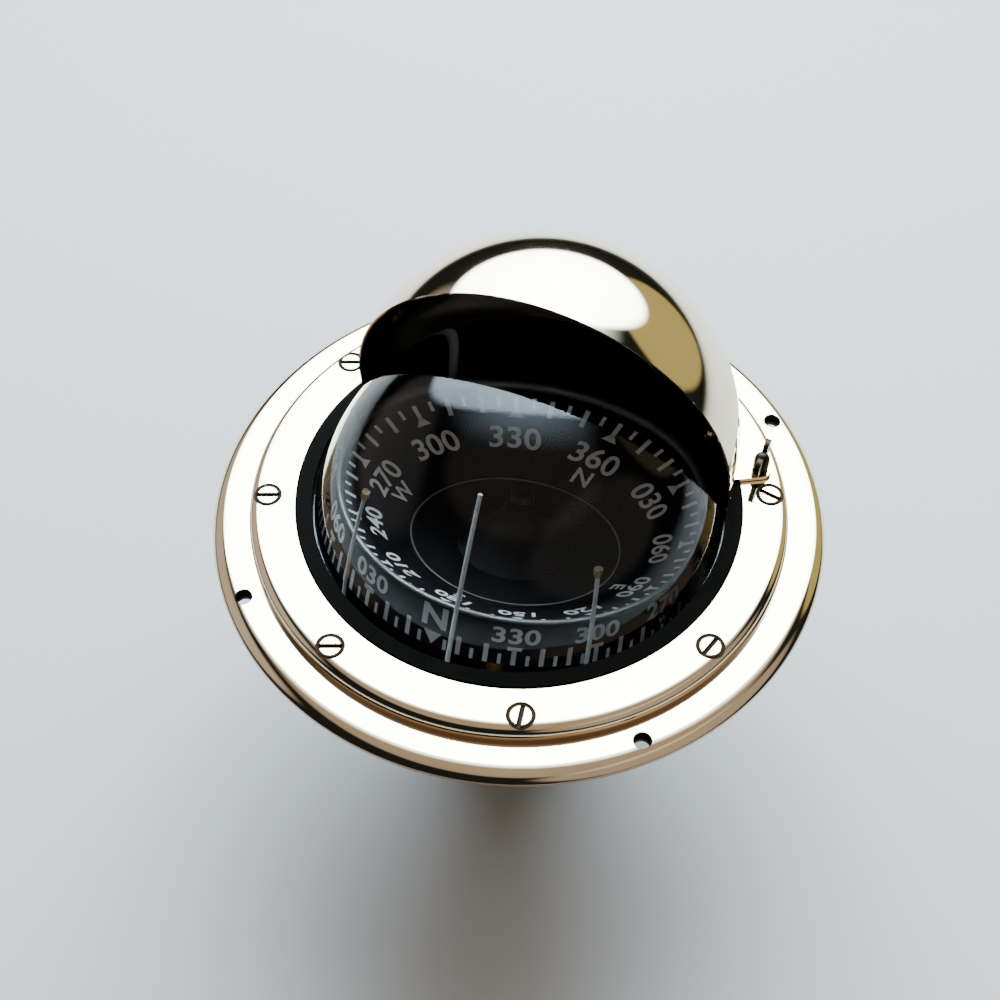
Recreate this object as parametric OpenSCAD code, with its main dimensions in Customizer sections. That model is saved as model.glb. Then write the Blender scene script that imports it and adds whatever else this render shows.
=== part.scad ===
// Flush-mounted liquid-filled steering compass with a swivelling sun hood.
// Millimetres. Origin at the centre of the deck face, +Z up, +Y towards the bow.

/* [Card] */
// Radius of the card's skirt
card_r = 51; // [46:0.25:56]
// Height of the dished scale's rim above its flat centre
dish_h = 7.4; // [4:0.2:9]
// Radius of the card's flat centre
dish_flat_r = 29; // [24:0.5:34]
// Height of the skirt's upright wall
skirt_h = 16.4; // [10:0.2:18]
// Thickness of the card's plastic
card_t = 0.8; // [0.5:0.1:1.2]
// Heading that the card shows, degrees
heading = 351.3; // [0:0.1:359.9]

/* [Gimbals] */
// Lean of the gimballed frame towards the bow, degrees
rest_pitch = 17; // [0:0.5:20]
// Distance from the card's skirt to the circle of lubber pins
pin_gap = 7; // [5:0.25:9]
// Diameter of a lubber pin
pin_d = 1.6; // [1:0.1:2]
// Height of the two after lubber pins above the gimbals' centre
after_pin_top = 21; // [10:0.5:24]
// Height of the two forward lubber pins above the gimbals' centre
fore_pin_top = 10; // [4:0.5:16]
// Radial width of the gimbal ring
gimbal_w = 5.6; // [4:0.1:7]
// Height of the gimbal ring
gimbal_h = 6; // [5:0.2:7]
// Radius of the pendulum weight
weight_r = 30; // [20:0.5:34]
// Height of the pendulum weight
weight_h = 13; // [8:0.5:16]

/* [Dome and bowl] */
// Gap between the gimbal ring and the bowl
bowl_gap = 4.7; // [4:0.1:6]
// Wall thickness of the bowl
bowl_t = 3; // [2:0.1:3.5]
// How far the dome's outer face stands inside the bowl's bore
dome_step = 0.6; // [0.4:0.1:1]
// Wall thickness of the dome
dome_t = 3; // [2:0.1:3.4]
// Depth of the dome's centre below the bezel's top face
dome_drop = 16.5; // [16:0.1:18]
// Radius of the expansion opening in the bowl's base
vent_r = 32; // [24:0.5:34]

/* [Bezel] */
// Radial width of the turning ring between the dome and the bezel
ring_w = 5.7; // [5:0.1:7]
// Height of the bezel ring above the flange
bezel_h = 6.8; // [6.2:0.1:7.6]
// Distance from the bezel's bore to the circle of its screws
bezel_screw_gap = 10.9; // [10:0.1:12]
// Distance from the bezel screws to the bezel's outer edge
bezel_rim = 7.1; // [6.5:0.1:9]
// Head diameter of a bezel screw
bezel_head_d = 9.2; // [8:0.1:11]
// Shank diameter of a bezel screw
bezel_shank_d = 5; // [4:0.1:5.4]
// Chamfer round the recess of a bezel screw
recess_chamfer = 0.6; // [0.2:0.05:0.8]

/* [Deck flange] */
// Distance from the collar to the circle of deck screw holes
deck_hole_gap = 6.5; // [5:0.25:8]
// Distance from the deck screw holes to the flange's edge
flange_rim = 7; // [6:0.25:9]
// Thickness of the deck flange
flange_t = 4.5; // [3.8:0.1:6]
// Thickness of the gasket under the flange
gasket_t = 1.5; // [1:0.1:3]
// How far the collar reaches below the deck face
collar_h = 8; // [6:0.5:14]
// Diameter of a deck screw hole
deck_hole_d = 6; // [4:0.1:7]

/* [Sun hood] */
// How much smaller the hood's radius is than the dome's
hood_inset = 3.6; // [3.2:0.1:3.8]
// Thickness of the hood's sheet
hood_t = 1; // [0.6:0.1:1.1]
// Distance of the hood's centre ahead of the compass axis
hood_fwd = 21; // [20:0.1:24]
// Height of the hood's centre above the bezel's top face
hood_up = 15; // [14:0.5:24]
// Distance of the hood's mouth ahead of the axis, at its foot
mouth_fwd = 22; // [20:0.25:26]
// Angle by which the mouth leans back over the dome
mouth_lean = 5.4; // [0:0.2:10]

/* [Compensator] */
// Outer radius of the compensator's housing
comp_r = 38; // [36:0.25:42]
// Number of teeth on each compensator gear
gear_teeth = 16; // [14:2:18]
// Distance between the two spindles of a geared pair
spindle_gap = 11.2; // [10.6:0.1:12]

/* [Hidden] */
$fn = 96;

// Clearance between pieces that move past each other
slack = 0.3;
// Clearance between pieces that are screwed together
seat = 0.2;
// Radial clearance of a pivot in its bush
running = 0.05;
// How far a cutting shape runs past the face that it cuts
past = 1;

// Card, measured from the gimbals' centre along the frame's own axis
rim_z = -1.6;
rim_t = 1.6;
rim_land = 1;
flat_z = rim_z - dish_h;
bead_r = 1;
bead_lift = 0.7;
skirt_low = rim_z - skirt_h;
float_in_r = 12;
float_out_r = 15.5;
float_neck_r = 4.2;
float_top = 6;
float_roof_z = flat_z + 1.4;
jewel_r = 3.4;
jewel_h = 3;
cap_r = 3.6;
cap_stem_r = 1.2;
magnet_x = 17;
magnet_r = 2.2;
magnet_z = flat_z - card_t - magnet_r - 0.6;
card_magnet_len = 36;
clip_y = 11;
clip_w = 4;

// Swinging frame, measured the same way
pin_pcr = card_r + pin_gap;
pin_seat = 0.8;
frame_t = 3;
frame_top = skirt_low - 5.5;
frame_low = frame_top - frame_t;
frame_in_r = pin_pcr - 2;
frame_out_r = pin_pcr + 2.6;
after_pin_angles = [225, 315];
fore_pin_angles = [56, 124];
main_pin_angle = -90;
main_pin_foot_r = pin_pcr + 1;
main_pin_tip_r = card_r - 0.5;
arm_x = pin_pcr + 2.5;
arm_t = 3;
arm_w = 9;
arm_boss = 6.8;
pivot_boss_r = 4.5;
spoke_w = 6;
spoke_t = 2.5;
hub_r = 9;
hub_top = frame_top + 1.5;
post_r = 3;
post_top = -8;
tip_r = 2;
tip_z = -3.1;
tip_h = 3;
swing_r = arm_x + arm_boss + 1.2;
main_pin_top = sqrt(pow(swing_r - 0.5, 2) - pow(main_pin_tip_r, 2));
weight_lift = 13.5;
weight_low = weight_lift - swing_r;
weight_top = weight_low + weight_h;
weight_crown = 5;
nut_r = 5.5;
nut_h = 3.4;

// Gimbals
gimbal_in_r = swing_r + 1.2;
gimbal_out_r = gimbal_in_r + gimbal_w;
outer_pivot_r = 1.5;
inner_pivot_r = 1.2;
bush_wall = 1;
boss_in_y = gimbal_out_r + 1.5;
boss_r = 5.5;

// Stack of the fixed rings
flange_top = gasket_t + flange_t;
bezel_top = flange_top + bezel_h;
dome_z = bezel_top - dome_drop;
bezel_round = 4.2;
flange_round = 7;
flange_roll = 5.8;
bezel_screw_count = 8;
bezel_screw_first = 22.5;
bezel_slot_angles = [-9.6, 60, 130, 22.5, 22.5, 22.5, 100.4, 73.8];
deck_hole_count = 4;
deck_hole_first = 45;

// Dome
bowl_r = gimbal_out_r + bowl_gap;
dome_r = bowl_r - dome_step;
dome_in_r = dome_r - dome_t;
dome_flange_t = 3;
seal_t = 0.8;
seal_in_r = bowl_r + bowl_t + 0.5;
dome_base = flange_top + seal_t;
dome_shoulder = dome_base + dome_flange_t;

// Turning ring in the channel between the dome and the bezel
ring_z = dome_shoulder + 0.1;
ring_gap = 0.774;
ring_in_r = sqrt(pow(dome_r, 2) - pow(ring_z - dome_z, 2)) + ring_gap;
ring_out_r = ring_in_r + ring_w;
ring_top = bezel_top + 0.4;
bezel_bore_r = ring_out_r + slack;
lip_r = bezel_bore_r + 2.9;
lip_t = 1.1;

// Radii of the fixed rings
dome_flange_r = bezel_bore_r + 6;
bezel_screw_pcr = bezel_bore_r + bezel_screw_gap;
bezel_r = bezel_screw_pcr + bezel_rim;
head_land = 0.5;
head_break = 0.2;
bowl_flange_r = bezel_screw_pcr + 5;
bowl_flange_t = 3;
collar_in_r = bowl_r + bowl_t + 5.5;
collar_r = bezel_r + 1;
deck_hole_pcr = collar_r + deck_hole_gap;
flange_r = deck_hole_pcr + flange_rim;
bezel_screw_end = 3 - collar_h;

// Hood
hood_r = dome_r - hood_inset;
hood_z = bezel_top + hood_up;
foot_t = 1.6;
foot_in_r = ring_in_r - 1;
foot_top = ring_top + foot_t;
foot_screw_pcr = ring_in_r + 2.6;
foot_screw_angles = [44, 66, 90, 114, 136];
foot_screw_r = 1.1;
foot_head_r = 1.9;
foot_head_h = 1.2;
foot_screw_end = ring_z + 0.8;
lock_angle = 29.5;
lock_reach = 8.8;
lock_pcr = bezel_bore_r + lock_reach;
lock_r = 2;
lock_head_r = 3;
lock_head_h = 4;
lock_head_z = foot_top + 1.2;
wing_r = 3.6;
wing_t = 2;
wing_x = 5.2;
wing_bore_r = 1.5;
wing_turn = 60;
lug_w = 9;
pad_z = bezel_top + 0.1;
pad_top = ring_top + 0.2;

// Bowl base and diaphragm
base_z = dome_z - bowl_r - 4.3;
base_rim = 7;
base_r = comp_r + base_rim;
base_h = 12;
vent_screw_pcr = comp_r + 3.6;
vent_screw_first = 15;
vent_screw_count = 6;
vent_screw_r = 1.6;
vent_head_r = 2.8;
vent_head_h = 2;
vent_screw_bite = 6;
diaphragm_t = 1;
filler_az = -35;
filler_el = -38;
filler_r = 4;
filler_head_r = 6.5;
filler_head_h = 2.6;
filler_boss = 5;
washer_t = 1;

// Compensator
housing_flange_t = 4;
housing_wall = 3;
cover_t = 2.2;
cover_screw_r = 1.2;
cover_head_r = 2.4;
cover_boss_r = 2.6;
cover_boss_h = 6;
cover_screw_bite = 4.5;
cover_screw_count = 4;
cover_screw_first = 45;
cover_screw_pcr = comp_r - housing_wall - 2;
spindle_r = 2;
journal_r = 1.5;
journal_len = 1.4;
gear_t = 4;
gear_module = spindle_gap / gear_teeth;
gear_tip_r = spindle_gap / 2 + 0.75 * gear_module;
gear_root_r = spindle_gap / 2 - gear_module;
magnet_len = 8.6;
comp_magnet_r = 1.4;
magnet_hub_r = 3.6;
magnet_hub_len = 8;
spindle_end = sqrt(pow(comp_r - housing_wall, 2) - pow(spindle_gap / 2 + spindle_r, 2)) - slack;
journal_end = sqrt(pow(comp_r - housing_wall, 2) - pow(spindle_gap / 2, 2)) + journal_len;
gear_y = spindle_end - gear_t - 5.8;
housing_top = base_z - diaphragm_t;
housing_shelf = housing_top - housing_flange_t;
upper_axis_z = housing_shelf - gear_tip_r - 0.775;
lower_axis_z = upper_axis_z - 11.2;
housing_low = lower_axis_z - gear_tip_r - 1.775;
pairs = [[upper_axis_z, 0], [lower_axis_z, 90]];
adjuster_head_r = 4.2;
adjuster_head_t = 3.2;
adjuster_head_y = comp_r + 2.8;
adjuster_boss_r = adjuster_head_r + 1;

// Longer than any piece here
span = 2 * flange_r;

brass = [0.93, 0.80, 0.58];
black = [0.05, 0.05, 0.055];
clear_tint = [0.75, 0.85, 0.9, 0.35];
steel = [0.6, 0.6, 0.62];
white = [0.85, 0.87, 0.86];

// Shared shapes

// Round bar between two heights
module bar(r, z0, z1) {
    translate([0, 0, z0]) cylinder(r = r, h = z1 - z0);
}

// Round bar lying along Y
module along_y(y0, y1, r) {
    translate([0, y0, 0]) rotate([-90, 0, 0]) cylinder(r = r, h = y1 - y0);
}

// Ring with square section
module band(r_in, r_out, z0, z1) {
    difference() {
        bar(r_out, z0, z1);
        bar(r_in, z0 - past, z1 + past);
    }
}

// Copies on a circle
module around(count, pcr, first = 0) {
    for (i = [0 : count - 1])
        rotate([0, 0, first + i * 360 / count])
            translate([pcr, 0, 0])
                children();
}

// Countersunk slotted screw, its flat head flush with z = 0
module flush_screw(head_r, shank_r, len, slot_w, slot_depth, slot_angle) {
    cone_h = head_r - shank_r;
    difference() {
        union() {
            bar(head_r, -head_land, -head_break);
            translate([0, 0, -head_break]) cylinder(r1 = head_r, r2 = head_r - head_break, h = head_break);
            translate([0, 0, -head_land - cone_h]) cylinder(r1 = shank_r, r2 = head_r, h = cone_h);
            bar(shank_r, -len, -cone_h);
        }
        rotate([0, 0, slot_angle])
            translate([-head_r - past, -slot_w / 2, -slot_depth])
                cube([2 * (head_r + past), slot_w, slot_depth + past]);
    }
}

// Recess that a flush screw seats in, with room round its shank
module flush_recess(head_r, shank_r, depth) {
    cone_h = head_r - shank_r;
    bar(head_r + 0.1, -head_land, past);
    translate([0, 0, -head_land - cone_h]) cylinder(r1 = shank_r, r2 = head_r, h = cone_h);
    bar(shank_r + seat, -depth, -head_land - cone_h / 2);
}

// Cheese-head slotted screw standing on z = 0
module cheese_screw(head_r, head_h, shank_r, len, slot_angle) {
    slot_w = 0.6;
    difference() {
        union() {
            bar(head_r, 0, head_h);
            bar(shank_r, -len, 0);
        }
        rotate([0, 0, slot_angle])
            translate([-head_r - past, -slot_w / 2, head_h / 2])
                cube([2 * (head_r + past), slot_w, head_h]);
    }
}

// The gimballed frame's own axes
module swung() {
    translate([0, 0, dome_z]) rotate([-rest_pitch, 0, 0]) children();
}

// The card's own axes, north along +Y
module on_card() {
    swung() rotate([0, 0, heading]) children();
}

// Fixed rings

module flange_gasket() {
    color(black) difference() {
        band(collar_r + seat, flange_r - 1, 0, gasket_t);
        around(deck_hole_count, deck_hole_pcr, deck_hole_first)
            bar(deck_hole_d / 2, -past, gasket_t + past);
    }
}

// Half section of a flat ring whose upper outer edge rolls off over some width on a radius
module ring_section(r_in, r_out, z0, z1, roll, radius) {
    translate([r_in, z0]) square([r_out - roll - r_in, z1 - z0]);
    intersection() {
        translate([r_out - roll - past, z0]) square([roll + past, z1 - z0]);
        translate([r_out - roll, z1 - radius]) union() {
            circle(r = radius);
            translate([-past, -span]) square([radius + past, span]);
        }
    }
}

module deck_flange() {
    color(brass) difference() {
        rotate_extrude() {
            ring_section(collar_in_r, flange_r, gasket_t, flange_top, flange_roll, flange_round);
            translate([collar_in_r, -collar_h])
                square([collar_r - collar_in_r, collar_h + gasket_t + past]);
        }
        bar(bowl_flange_r + seat, flange_top - bowl_flange_t, flange_top + past);
        around(deck_hole_count, deck_hole_pcr, deck_hole_first)
            bar(deck_hole_d / 2, -past, flange_top + past);
        around(bezel_screw_count, bezel_screw_pcr, bezel_screw_first)
            bar(bezel_shank_d / 2, bezel_screw_end - 1, flange_top + past);
    }
}

module bezel_ring() {
    head_r = bezel_head_d / 2;
    color(brass) difference() {
        rotate_extrude()
            ring_section(bezel_bore_r, bezel_r, flange_top, bezel_top, bezel_round, bezel_round);
        bar(dome_flange_r + slack, flange_top - past, dome_shoulder);
        bar(lip_r + slack, flange_top - past, ring_z + lip_t + slack);
        around(bezel_screw_count, bezel_screw_pcr, bezel_screw_first) translate([0, 0, bezel_top]) {
            flush_recess(head_r, bezel_shank_d / 2, bezel_h + past);
            translate([0, 0, -recess_chamfer])
                cylinder(r1 = head_r + 0.1, r2 = head_r + 0.1 + 2 * recess_chamfer, h = 2 * recess_chamfer);
        }
    }
}

module bezel_screws() {
    color(brass)
        for (i = [0 : bezel_screw_count - 1])
            rotate([0, 0, bezel_screw_first + i * 360 / bezel_screw_count])
                translate([bezel_screw_pcr, 0, bezel_top])
                    flush_screw(bezel_head_d / 2, bezel_shank_d / 2, bezel_top - bezel_screw_end, 1.2, 1.2,
                                bezel_slot_angles[i] - bezel_screw_first - i * 360 / bezel_screw_count);
}

// Dome and bowl

module dome() {
    color(clear_tint) rotate_extrude() {
        intersection() {
            difference() {
                translate([0, dome_z]) circle(r = dome_r);
                translate([0, dome_z]) circle(r = dome_in_r);
            }
            translate([0, dome_base]) square(span);
        }
        difference() {
            translate([dome_in_r - 2, dome_base]) square([dome_flange_r - dome_in_r + 2, dome_flange_t]);
            translate([0, dome_z]) circle(r = dome_in_r + 1);
        }
    }
}

module dome_seal() {
    color(black) band(seal_in_r, dome_flange_r - 1, flange_top, flange_top + seal_t);
}

// Places its children on the filler boss, +Z pointing out of the bowl
module at_filler() {
    translate([0, 0, dome_z])
        rotate([0, 90 - filler_el, filler_az])
            translate([0, 0, bowl_r + bowl_t])
                children();
}

module bowl() {
    color(black) difference() {
        union() {
            rotate_extrude() {
                difference() {
                    union() {
                        translate([0, dome_z]) circle(r = bowl_r + bowl_t);
                        translate([0, flange_top - bowl_flange_t])
                            square([bowl_flange_r, bowl_flange_t]);
                        translate([0, base_z]) square([base_r, base_h]);
                    }
                    translate([0, dome_z]) circle(r = bowl_r);
                    translate([0, flange_top]) square(span);
                    translate([0, base_z - past]) square([vent_r, base_h]);
                    translate([-span, -span]) square([span, 2 * span]);
                }
            }
            for (side = [0, 180]) rotate([0, 0, side])
                translate([0, boss_in_y, dome_z]) rotate([-90, 0, 0])
                    cylinder(r = boss_r, h = bowl_r + bowl_t + 2.2 - boss_in_y);
            at_filler() bar(filler_head_r + 1, -bowl_t / 2, filler_boss);
        }
        for (side = [0, 180]) rotate([0, 0, side])
            translate([0, 0, dome_z])
                along_y(boss_in_y - past, bowl_r + bowl_t, outer_pivot_r + running + bush_wall);
        at_filler() bar(filler_r, -bowl_t - 4, filler_boss + past);
        around(bezel_screw_count, bezel_screw_pcr, bezel_screw_first)
            bar(bezel_shank_d / 2 + seat, flange_top - bowl_flange_t - past, flange_top + past);
        around(vent_screw_count, vent_screw_pcr, vent_screw_first)
            bar(vent_screw_r, base_z - past, base_z + vent_screw_bite + 2);
    }
}

module gimbal_bowl_bushes() {
    color(brass)
        for (side = [0, 180]) rotate([0, 0, side])
            translate([0, 0, dome_z]) difference() {
                along_y(boss_in_y, bowl_r + bowl_t, outer_pivot_r + running + bush_wall);
                along_y(boss_in_y - past, bowl_r + bowl_t + past, outer_pivot_r + running);
            }
}

module filler_washer() {
    color(black) at_filler()
        band(filler_r + seat, filler_head_r, filler_boss, filler_boss + washer_t);
}

module filler_plug() {
    slot_w = 1.5;
    color(brass) at_filler() translate([0, 0, filler_boss + washer_t]) difference() {
        union() {
            bar(filler_head_r, 0, filler_head_h);
            bar(filler_r, -filler_boss - bowl_t, 0);
        }
        translate([-filler_head_r - past, -slot_w / 2, filler_head_h / 2])
            cube([2 * (filler_head_r + past), slot_w, filler_head_h]);
    }
}

// Corrugated rubber disc that lets the liquid expand
module diaphragm() {
    wave = 1.6;
    wave_count = 3;
    steps = 48;
    flat_from = vent_r - 3;
    function dip(r) = -wave * (1 - cos(360 * wave_count * (flat_from - r) / flat_from)) / 2;
    top = [for (i = [0 : steps]) let (r = flat_from * i / steps) [r, dip(r)]];
    low = [for (i = [steps : -1 : 0]) let (r = flat_from * i / steps) [r, dip(r) - diaphragm_t]];
    color(black) difference() {
        translate([0, 0, base_z]) rotate_extrude()
            polygon(concat(top, [[base_r - 0.5, 0], [base_r - 0.5, -diaphragm_t]], low));
        around(vent_screw_count, vent_screw_pcr, vent_screw_first)
            bar(vent_screw_r + seat, base_z - diaphragm_t - past, base_z + past);
    }
}

// Compensator under the bowl

// Places its children on one geared pair, with +Y along the spindles and the adjusting head towards -Y
module at_pair(level_z, turn) {
    translate([0, 0, level_z]) rotate([0, 0, turn]) children();
}

module compensator_housing() {
    color(black) difference() {
        union() {
            difference() {
                union() {
                    bar(base_r - 0.5, housing_shelf, housing_top);
                    bar(comp_r, housing_low, housing_top);
                    for (pair = pairs) at_pair(pair[0], pair[1]) translate([spindle_gap / 2, 0, 0])
                        along_y(-comp_r - 2.5, -comp_r + housing_wall, adjuster_boss_r);
                }
                bar(vent_r, housing_shelf - past, housing_top + past);
                bar(comp_r - housing_wall, housing_low - past, housing_shelf - past);
            }
            around(cover_screw_count, cover_screw_pcr, cover_screw_first)
                bar(cover_boss_r, housing_low, housing_low + cover_boss_h);
        }
        around(vent_screw_count, vent_screw_pcr, vent_screw_first)
            bar(vent_screw_r + seat, housing_shelf - past, housing_top + past);
        around(cover_screw_count, cover_screw_pcr, cover_screw_first)
            bar(cover_screw_r, housing_low - past, housing_low + cover_screw_bite + 0.5);
        for (pair = pairs) at_pair(pair[0], pair[1]) {
            translate([spindle_gap / 2, 0, 0]) {
                along_y(-span, 0, spindle_r + running);
                along_y(0, journal_end + seat, journal_r + running);
            }
            translate([-spindle_gap / 2, 0, 0])
                along_y(-journal_end - seat, journal_end + seat, journal_r + running);
        }
    }
}

module housing_screws() {
    color(steel)
        around(vent_screw_count, vent_screw_pcr, vent_screw_first)
            translate([0, 0, housing_shelf]) rotate([180, 0, 0])
                cheese_screw(vent_head_r, vent_head_h, vent_screw_r,
                             housing_flange_t + diaphragm_t + vent_screw_bite, 35);
}

module compensator_cover() {
    color(black) difference() {
        bar(comp_r, housing_low - cover_t, housing_low);
        around(cover_screw_count, cover_screw_pcr, cover_screw_first)
            translate([0, 0, housing_low - cover_t]) rotate([180, 0, 0])
                flush_recess(cover_head_r, cover_screw_r, cover_t + past);
    }
}

module cover_screws() {
    color(steel)
        around(cover_screw_count, cover_screw_pcr, cover_screw_first)
            translate([0, 0, housing_low - cover_t]) rotate([180, 0, 0])
                flush_screw(cover_head_r, cover_screw_r, cover_t + cover_screw_bite, 0.6, 0.8, 20);
}

// Spur gear with straight-flanked teeth, lying across +Y
module gear(phase) {
    step = 360 / gear_teeth;
    foot_angle = step * 0.3;
    tip_angle = step * 0.13;
    foot_x = gear_root_r * cos(foot_angle) - 0.3;
    foot_y = gear_root_r * sin(foot_angle);
    tip_y = gear_tip_r * sin(tip_angle);
    translate([0, gear_y, 0]) rotate([-90, phase, 0]) linear_extrude(height = gear_t) {
        circle(r = gear_root_r);
        for (i = [0 : gear_teeth - 1]) rotate([0, 0, i * step])
            polygon([[foot_x, -foot_y], [gear_tip_r, -tip_y], [gear_tip_r, tip_y], [foot_x, foot_y]]);
    }
}

// Spindle with its gear, journals and a seat for the cross magnet
module spindle(phase, driven) {
    slot_w = 1.2;
    difference() {
        union() {
            along_y(driven ? -adjuster_head_y : -spindle_end, spindle_end, spindle_r);
            along_y(spindle_end, journal_end, journal_r);
            if (!driven) along_y(-journal_end, -spindle_end, journal_r);
            if (driven) along_y(-adjuster_head_y - adjuster_head_t, -adjuster_head_y, adjuster_head_r);
            along_y(-magnet_hub_len / 2, magnet_hub_len / 2, magnet_hub_r);
            gear(phase);
        }
        bar(comp_magnet_r, -magnet_len, magnet_len);
        if (driven)
            translate([-slot_w / 2, -adjuster_head_y - adjuster_head_t - past, -adjuster_head_r - past])
                cube([slot_w, adjuster_head_t / 2 + past, 2 * (adjuster_head_r + past)]);
    }
}

module cross_magnet() {
    bar(comp_magnet_r, -magnet_len / 2, magnet_len / 2);
}

module ns_adjuster_spindle() {
    color(brass) at_pair(upper_axis_z, 0) translate([spindle_gap / 2, 0, 0]) spindle(0, true);
}

module ns_adjuster_magnet() {
    color(steel) at_pair(upper_axis_z, 0) translate([spindle_gap / 2, 0, 0]) cross_magnet();
}

module ns_follower_spindle() {
    color(brass) at_pair(upper_axis_z, 0) translate([-spindle_gap / 2, 0, 0])
        spindle(180 / gear_teeth, false);
}

module ns_follower_magnet() {
    color(steel) at_pair(upper_axis_z, 0) translate([-spindle_gap / 2, 0, 0]) cross_magnet();
}

module ew_adjuster_spindle() {
    color(brass) at_pair(lower_axis_z, 90) translate([spindle_gap / 2, 0, 0]) spindle(0, true);
}

module ew_adjuster_magnet() {
    color(steel) at_pair(lower_axis_z, 90) translate([spindle_gap / 2, 0, 0]) cross_magnet();
}

module ew_follower_spindle() {
    color(brass) at_pair(lower_axis_z, 90) translate([-spindle_gap / 2, 0, 0])
        spindle(180 / gear_teeth, false);
}

module ew_follower_magnet() {
    color(steel) at_pair(lower_axis_z, 90) translate([-spindle_gap / 2, 0, 0]) cross_magnet();
}

// Sun hood on its turning ring

// Half space ahead of the hood's leaning mouth
module ahead_of_mouth() {
    translate([0, mouth_fwd, bezel_top]) rotate([mouth_lean, 0, 0])
        translate([-span, 0, -span]) cube(2 * span);
}

// Straight-sided below its centre, spherical above
module hood_form(r) {
    translate([0, hood_fwd, hood_z]) sphere(r = r);
    translate([0, hood_fwd, 0]) bar(r, 0, hood_z);
}

module hood() {
    color(brass) intersection() {
        difference() {
            hood_form(hood_r);
            hood_form(hood_r - hood_t);
            translate([-span, -span, foot_top - span]) cube([2 * span, 2 * span, span]);
        }
        ahead_of_mouth();
    }
}

// Places its children on the circle of the hood's foot screws
module at_foot_screws() {
    for (a = foot_screw_angles) rotate([0, 0, a]) translate([foot_screw_pcr, 0, 0]) children();
}

// Places its children on the axis of the lock screw
module at_lock() {
    rotate([0, 0, lock_angle]) translate([lock_pcr, 0, 0]) children();
}

module hood_foot() {
    color(brass) difference() {
        union() {
            intersection() {
                translate([0, hood_fwd, 0]) bar(hood_r, ring_top, foot_top);
                ahead_of_mouth();
            }
            rotate([0, 0, lock_angle])
                translate([foot_in_r, -lug_w / 2, ring_top]) cube([lock_pcr - foot_in_r, lug_w, foot_t]);
            at_lock() bar(lug_w / 2, ring_top, foot_top);
        }
        bar(foot_in_r, ring_top - past, foot_top + past);
        at_foot_screws() bar(foot_screw_r, ring_top - past, foot_top + past);
        at_lock() bar(lock_r + running, ring_top - past, foot_top + past);
    }
}

module hood_turning_ring() {
    color(black) difference() {
        union() {
            bar(ring_out_r, ring_z, ring_top);
            bar(lip_r, ring_z, ring_z + lip_t);
        }
        bar(ring_in_r, ring_z - past, ring_top + past);
        at_foot_screws() bar(foot_screw_r, foot_screw_end - 0.2, ring_top + past);
    }
}

module hood_foot_screws() {
    color(brass) at_foot_screws() translate([0, 0, foot_top])
        cheese_screw(foot_head_r, foot_head_h, foot_screw_r, foot_top - foot_screw_end, 35);
}

// Wing screw that bears on the bezel's top face through its pad
module hood_lock_screw() {
    color(brass) at_lock() {
        bar(lock_r, pad_top, lock_head_z);
        bar(lock_head_r, lock_head_z, lock_head_z + lock_head_h);
        translate([0, 0, lock_head_z + lock_head_h]) sphere(r = lock_head_r);
        for (side = [0, 180]) rotate([0, 0, side + wing_turn])
            translate([wing_x, 0, lock_head_z + lock_head_h + 1]) difference() {
                along_y(-wing_t / 2, wing_t / 2, wing_r);
                along_y(-wing_t, wing_t, wing_bore_r);
            }
    }
}

module hood_lock_pad() {
    color(white) at_lock() bar(lock_r, pad_z, pad_top);
}

// Gimbals and the swinging frame

// Places its children at the gimbals' centre, facing +Y and again facing -Y
module both_ends() {
    for (side = [0, 180]) translate([0, 0, dome_z]) rotate([0, 0, side]) children();
}

module gimbal_ring() {
    color(black) difference() {
        translate([0, 0, dome_z]) band(gimbal_in_r, gimbal_out_r, -gimbal_h / 2, gimbal_h / 2);
        both_ends() {
            along_y(gimbal_in_r - past, gimbal_out_r + past, outer_pivot_r);
            rotate([0, 0, 90])
                along_y(gimbal_in_r - past, gimbal_out_r + past, inner_pivot_r + running + bush_wall);
        }
    }
}

module gimbal_outer_pins() {
    color(brass) both_ends() {
        along_y(gimbal_in_r + 0.6, bowl_r + bowl_t - 0.8, outer_pivot_r);
        along_y(gimbal_out_r + 0.1, boss_in_y - slack, outer_pivot_r + bush_wall);
    }
}

module gimbal_inner_bushes() {
    color(brass) both_ends() rotate([0, 0, 90]) difference() {
        along_y(gimbal_in_r + 0.1, gimbal_out_r - 0.1, inner_pivot_r + running + bush_wall);
        along_y(gimbal_in_r - past, gimbal_out_r + past, inner_pivot_r + running);
    }
}

module lubber_frame() {
    color(black) swung() difference() {
        union() {
            band(frame_in_r, frame_out_r, frame_low, frame_top);
            for (side = [90, 270]) rotate([0, 0, side]) {
                translate([-arm_w / 2, arm_x, frame_low + 1])
                    cube([arm_w, arm_t, pivot_boss_r - frame_low - 1]);
                along_y(arm_x, arm_x + arm_boss, pivot_boss_r);
                translate([-arm_w / 2, frame_in_r + 1, frame_low])
                    cube([arm_w, arm_x - frame_in_r, frame_t]);
            }
            bar(hub_r, frame_low, hub_top);
            for (a = [45 : 90 : 315]) rotate([0, 0, a])
                translate([hub_r - 2, -spoke_w / 2, frame_low])
                    cube([frame_in_r - hub_r + 3, spoke_w, spoke_t]);
        }
        bar(post_r, frame_low - past, hub_top + past);
        for (side = [90, 270]) rotate([0, 0, side])
            along_y(arm_x - past, arm_x + arm_boss + past, inner_pivot_r);
        at_pins(concat(after_pin_angles, fore_pin_angles), pin_pcr)
            bar(pin_d / 2, frame_low + pin_seat, frame_top + past);
        at_pins([main_pin_angle], main_pin_foot_r)
            bar(pin_d / 2, frame_low + pin_seat, frame_top + past);
    }
}

// Places its children at each angle of a list, at one radius
module at_pins(angles, pcr) {
    for (a = angles) rotate([0, 0, a]) translate([pcr, 0, 0]) children();
}

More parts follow.
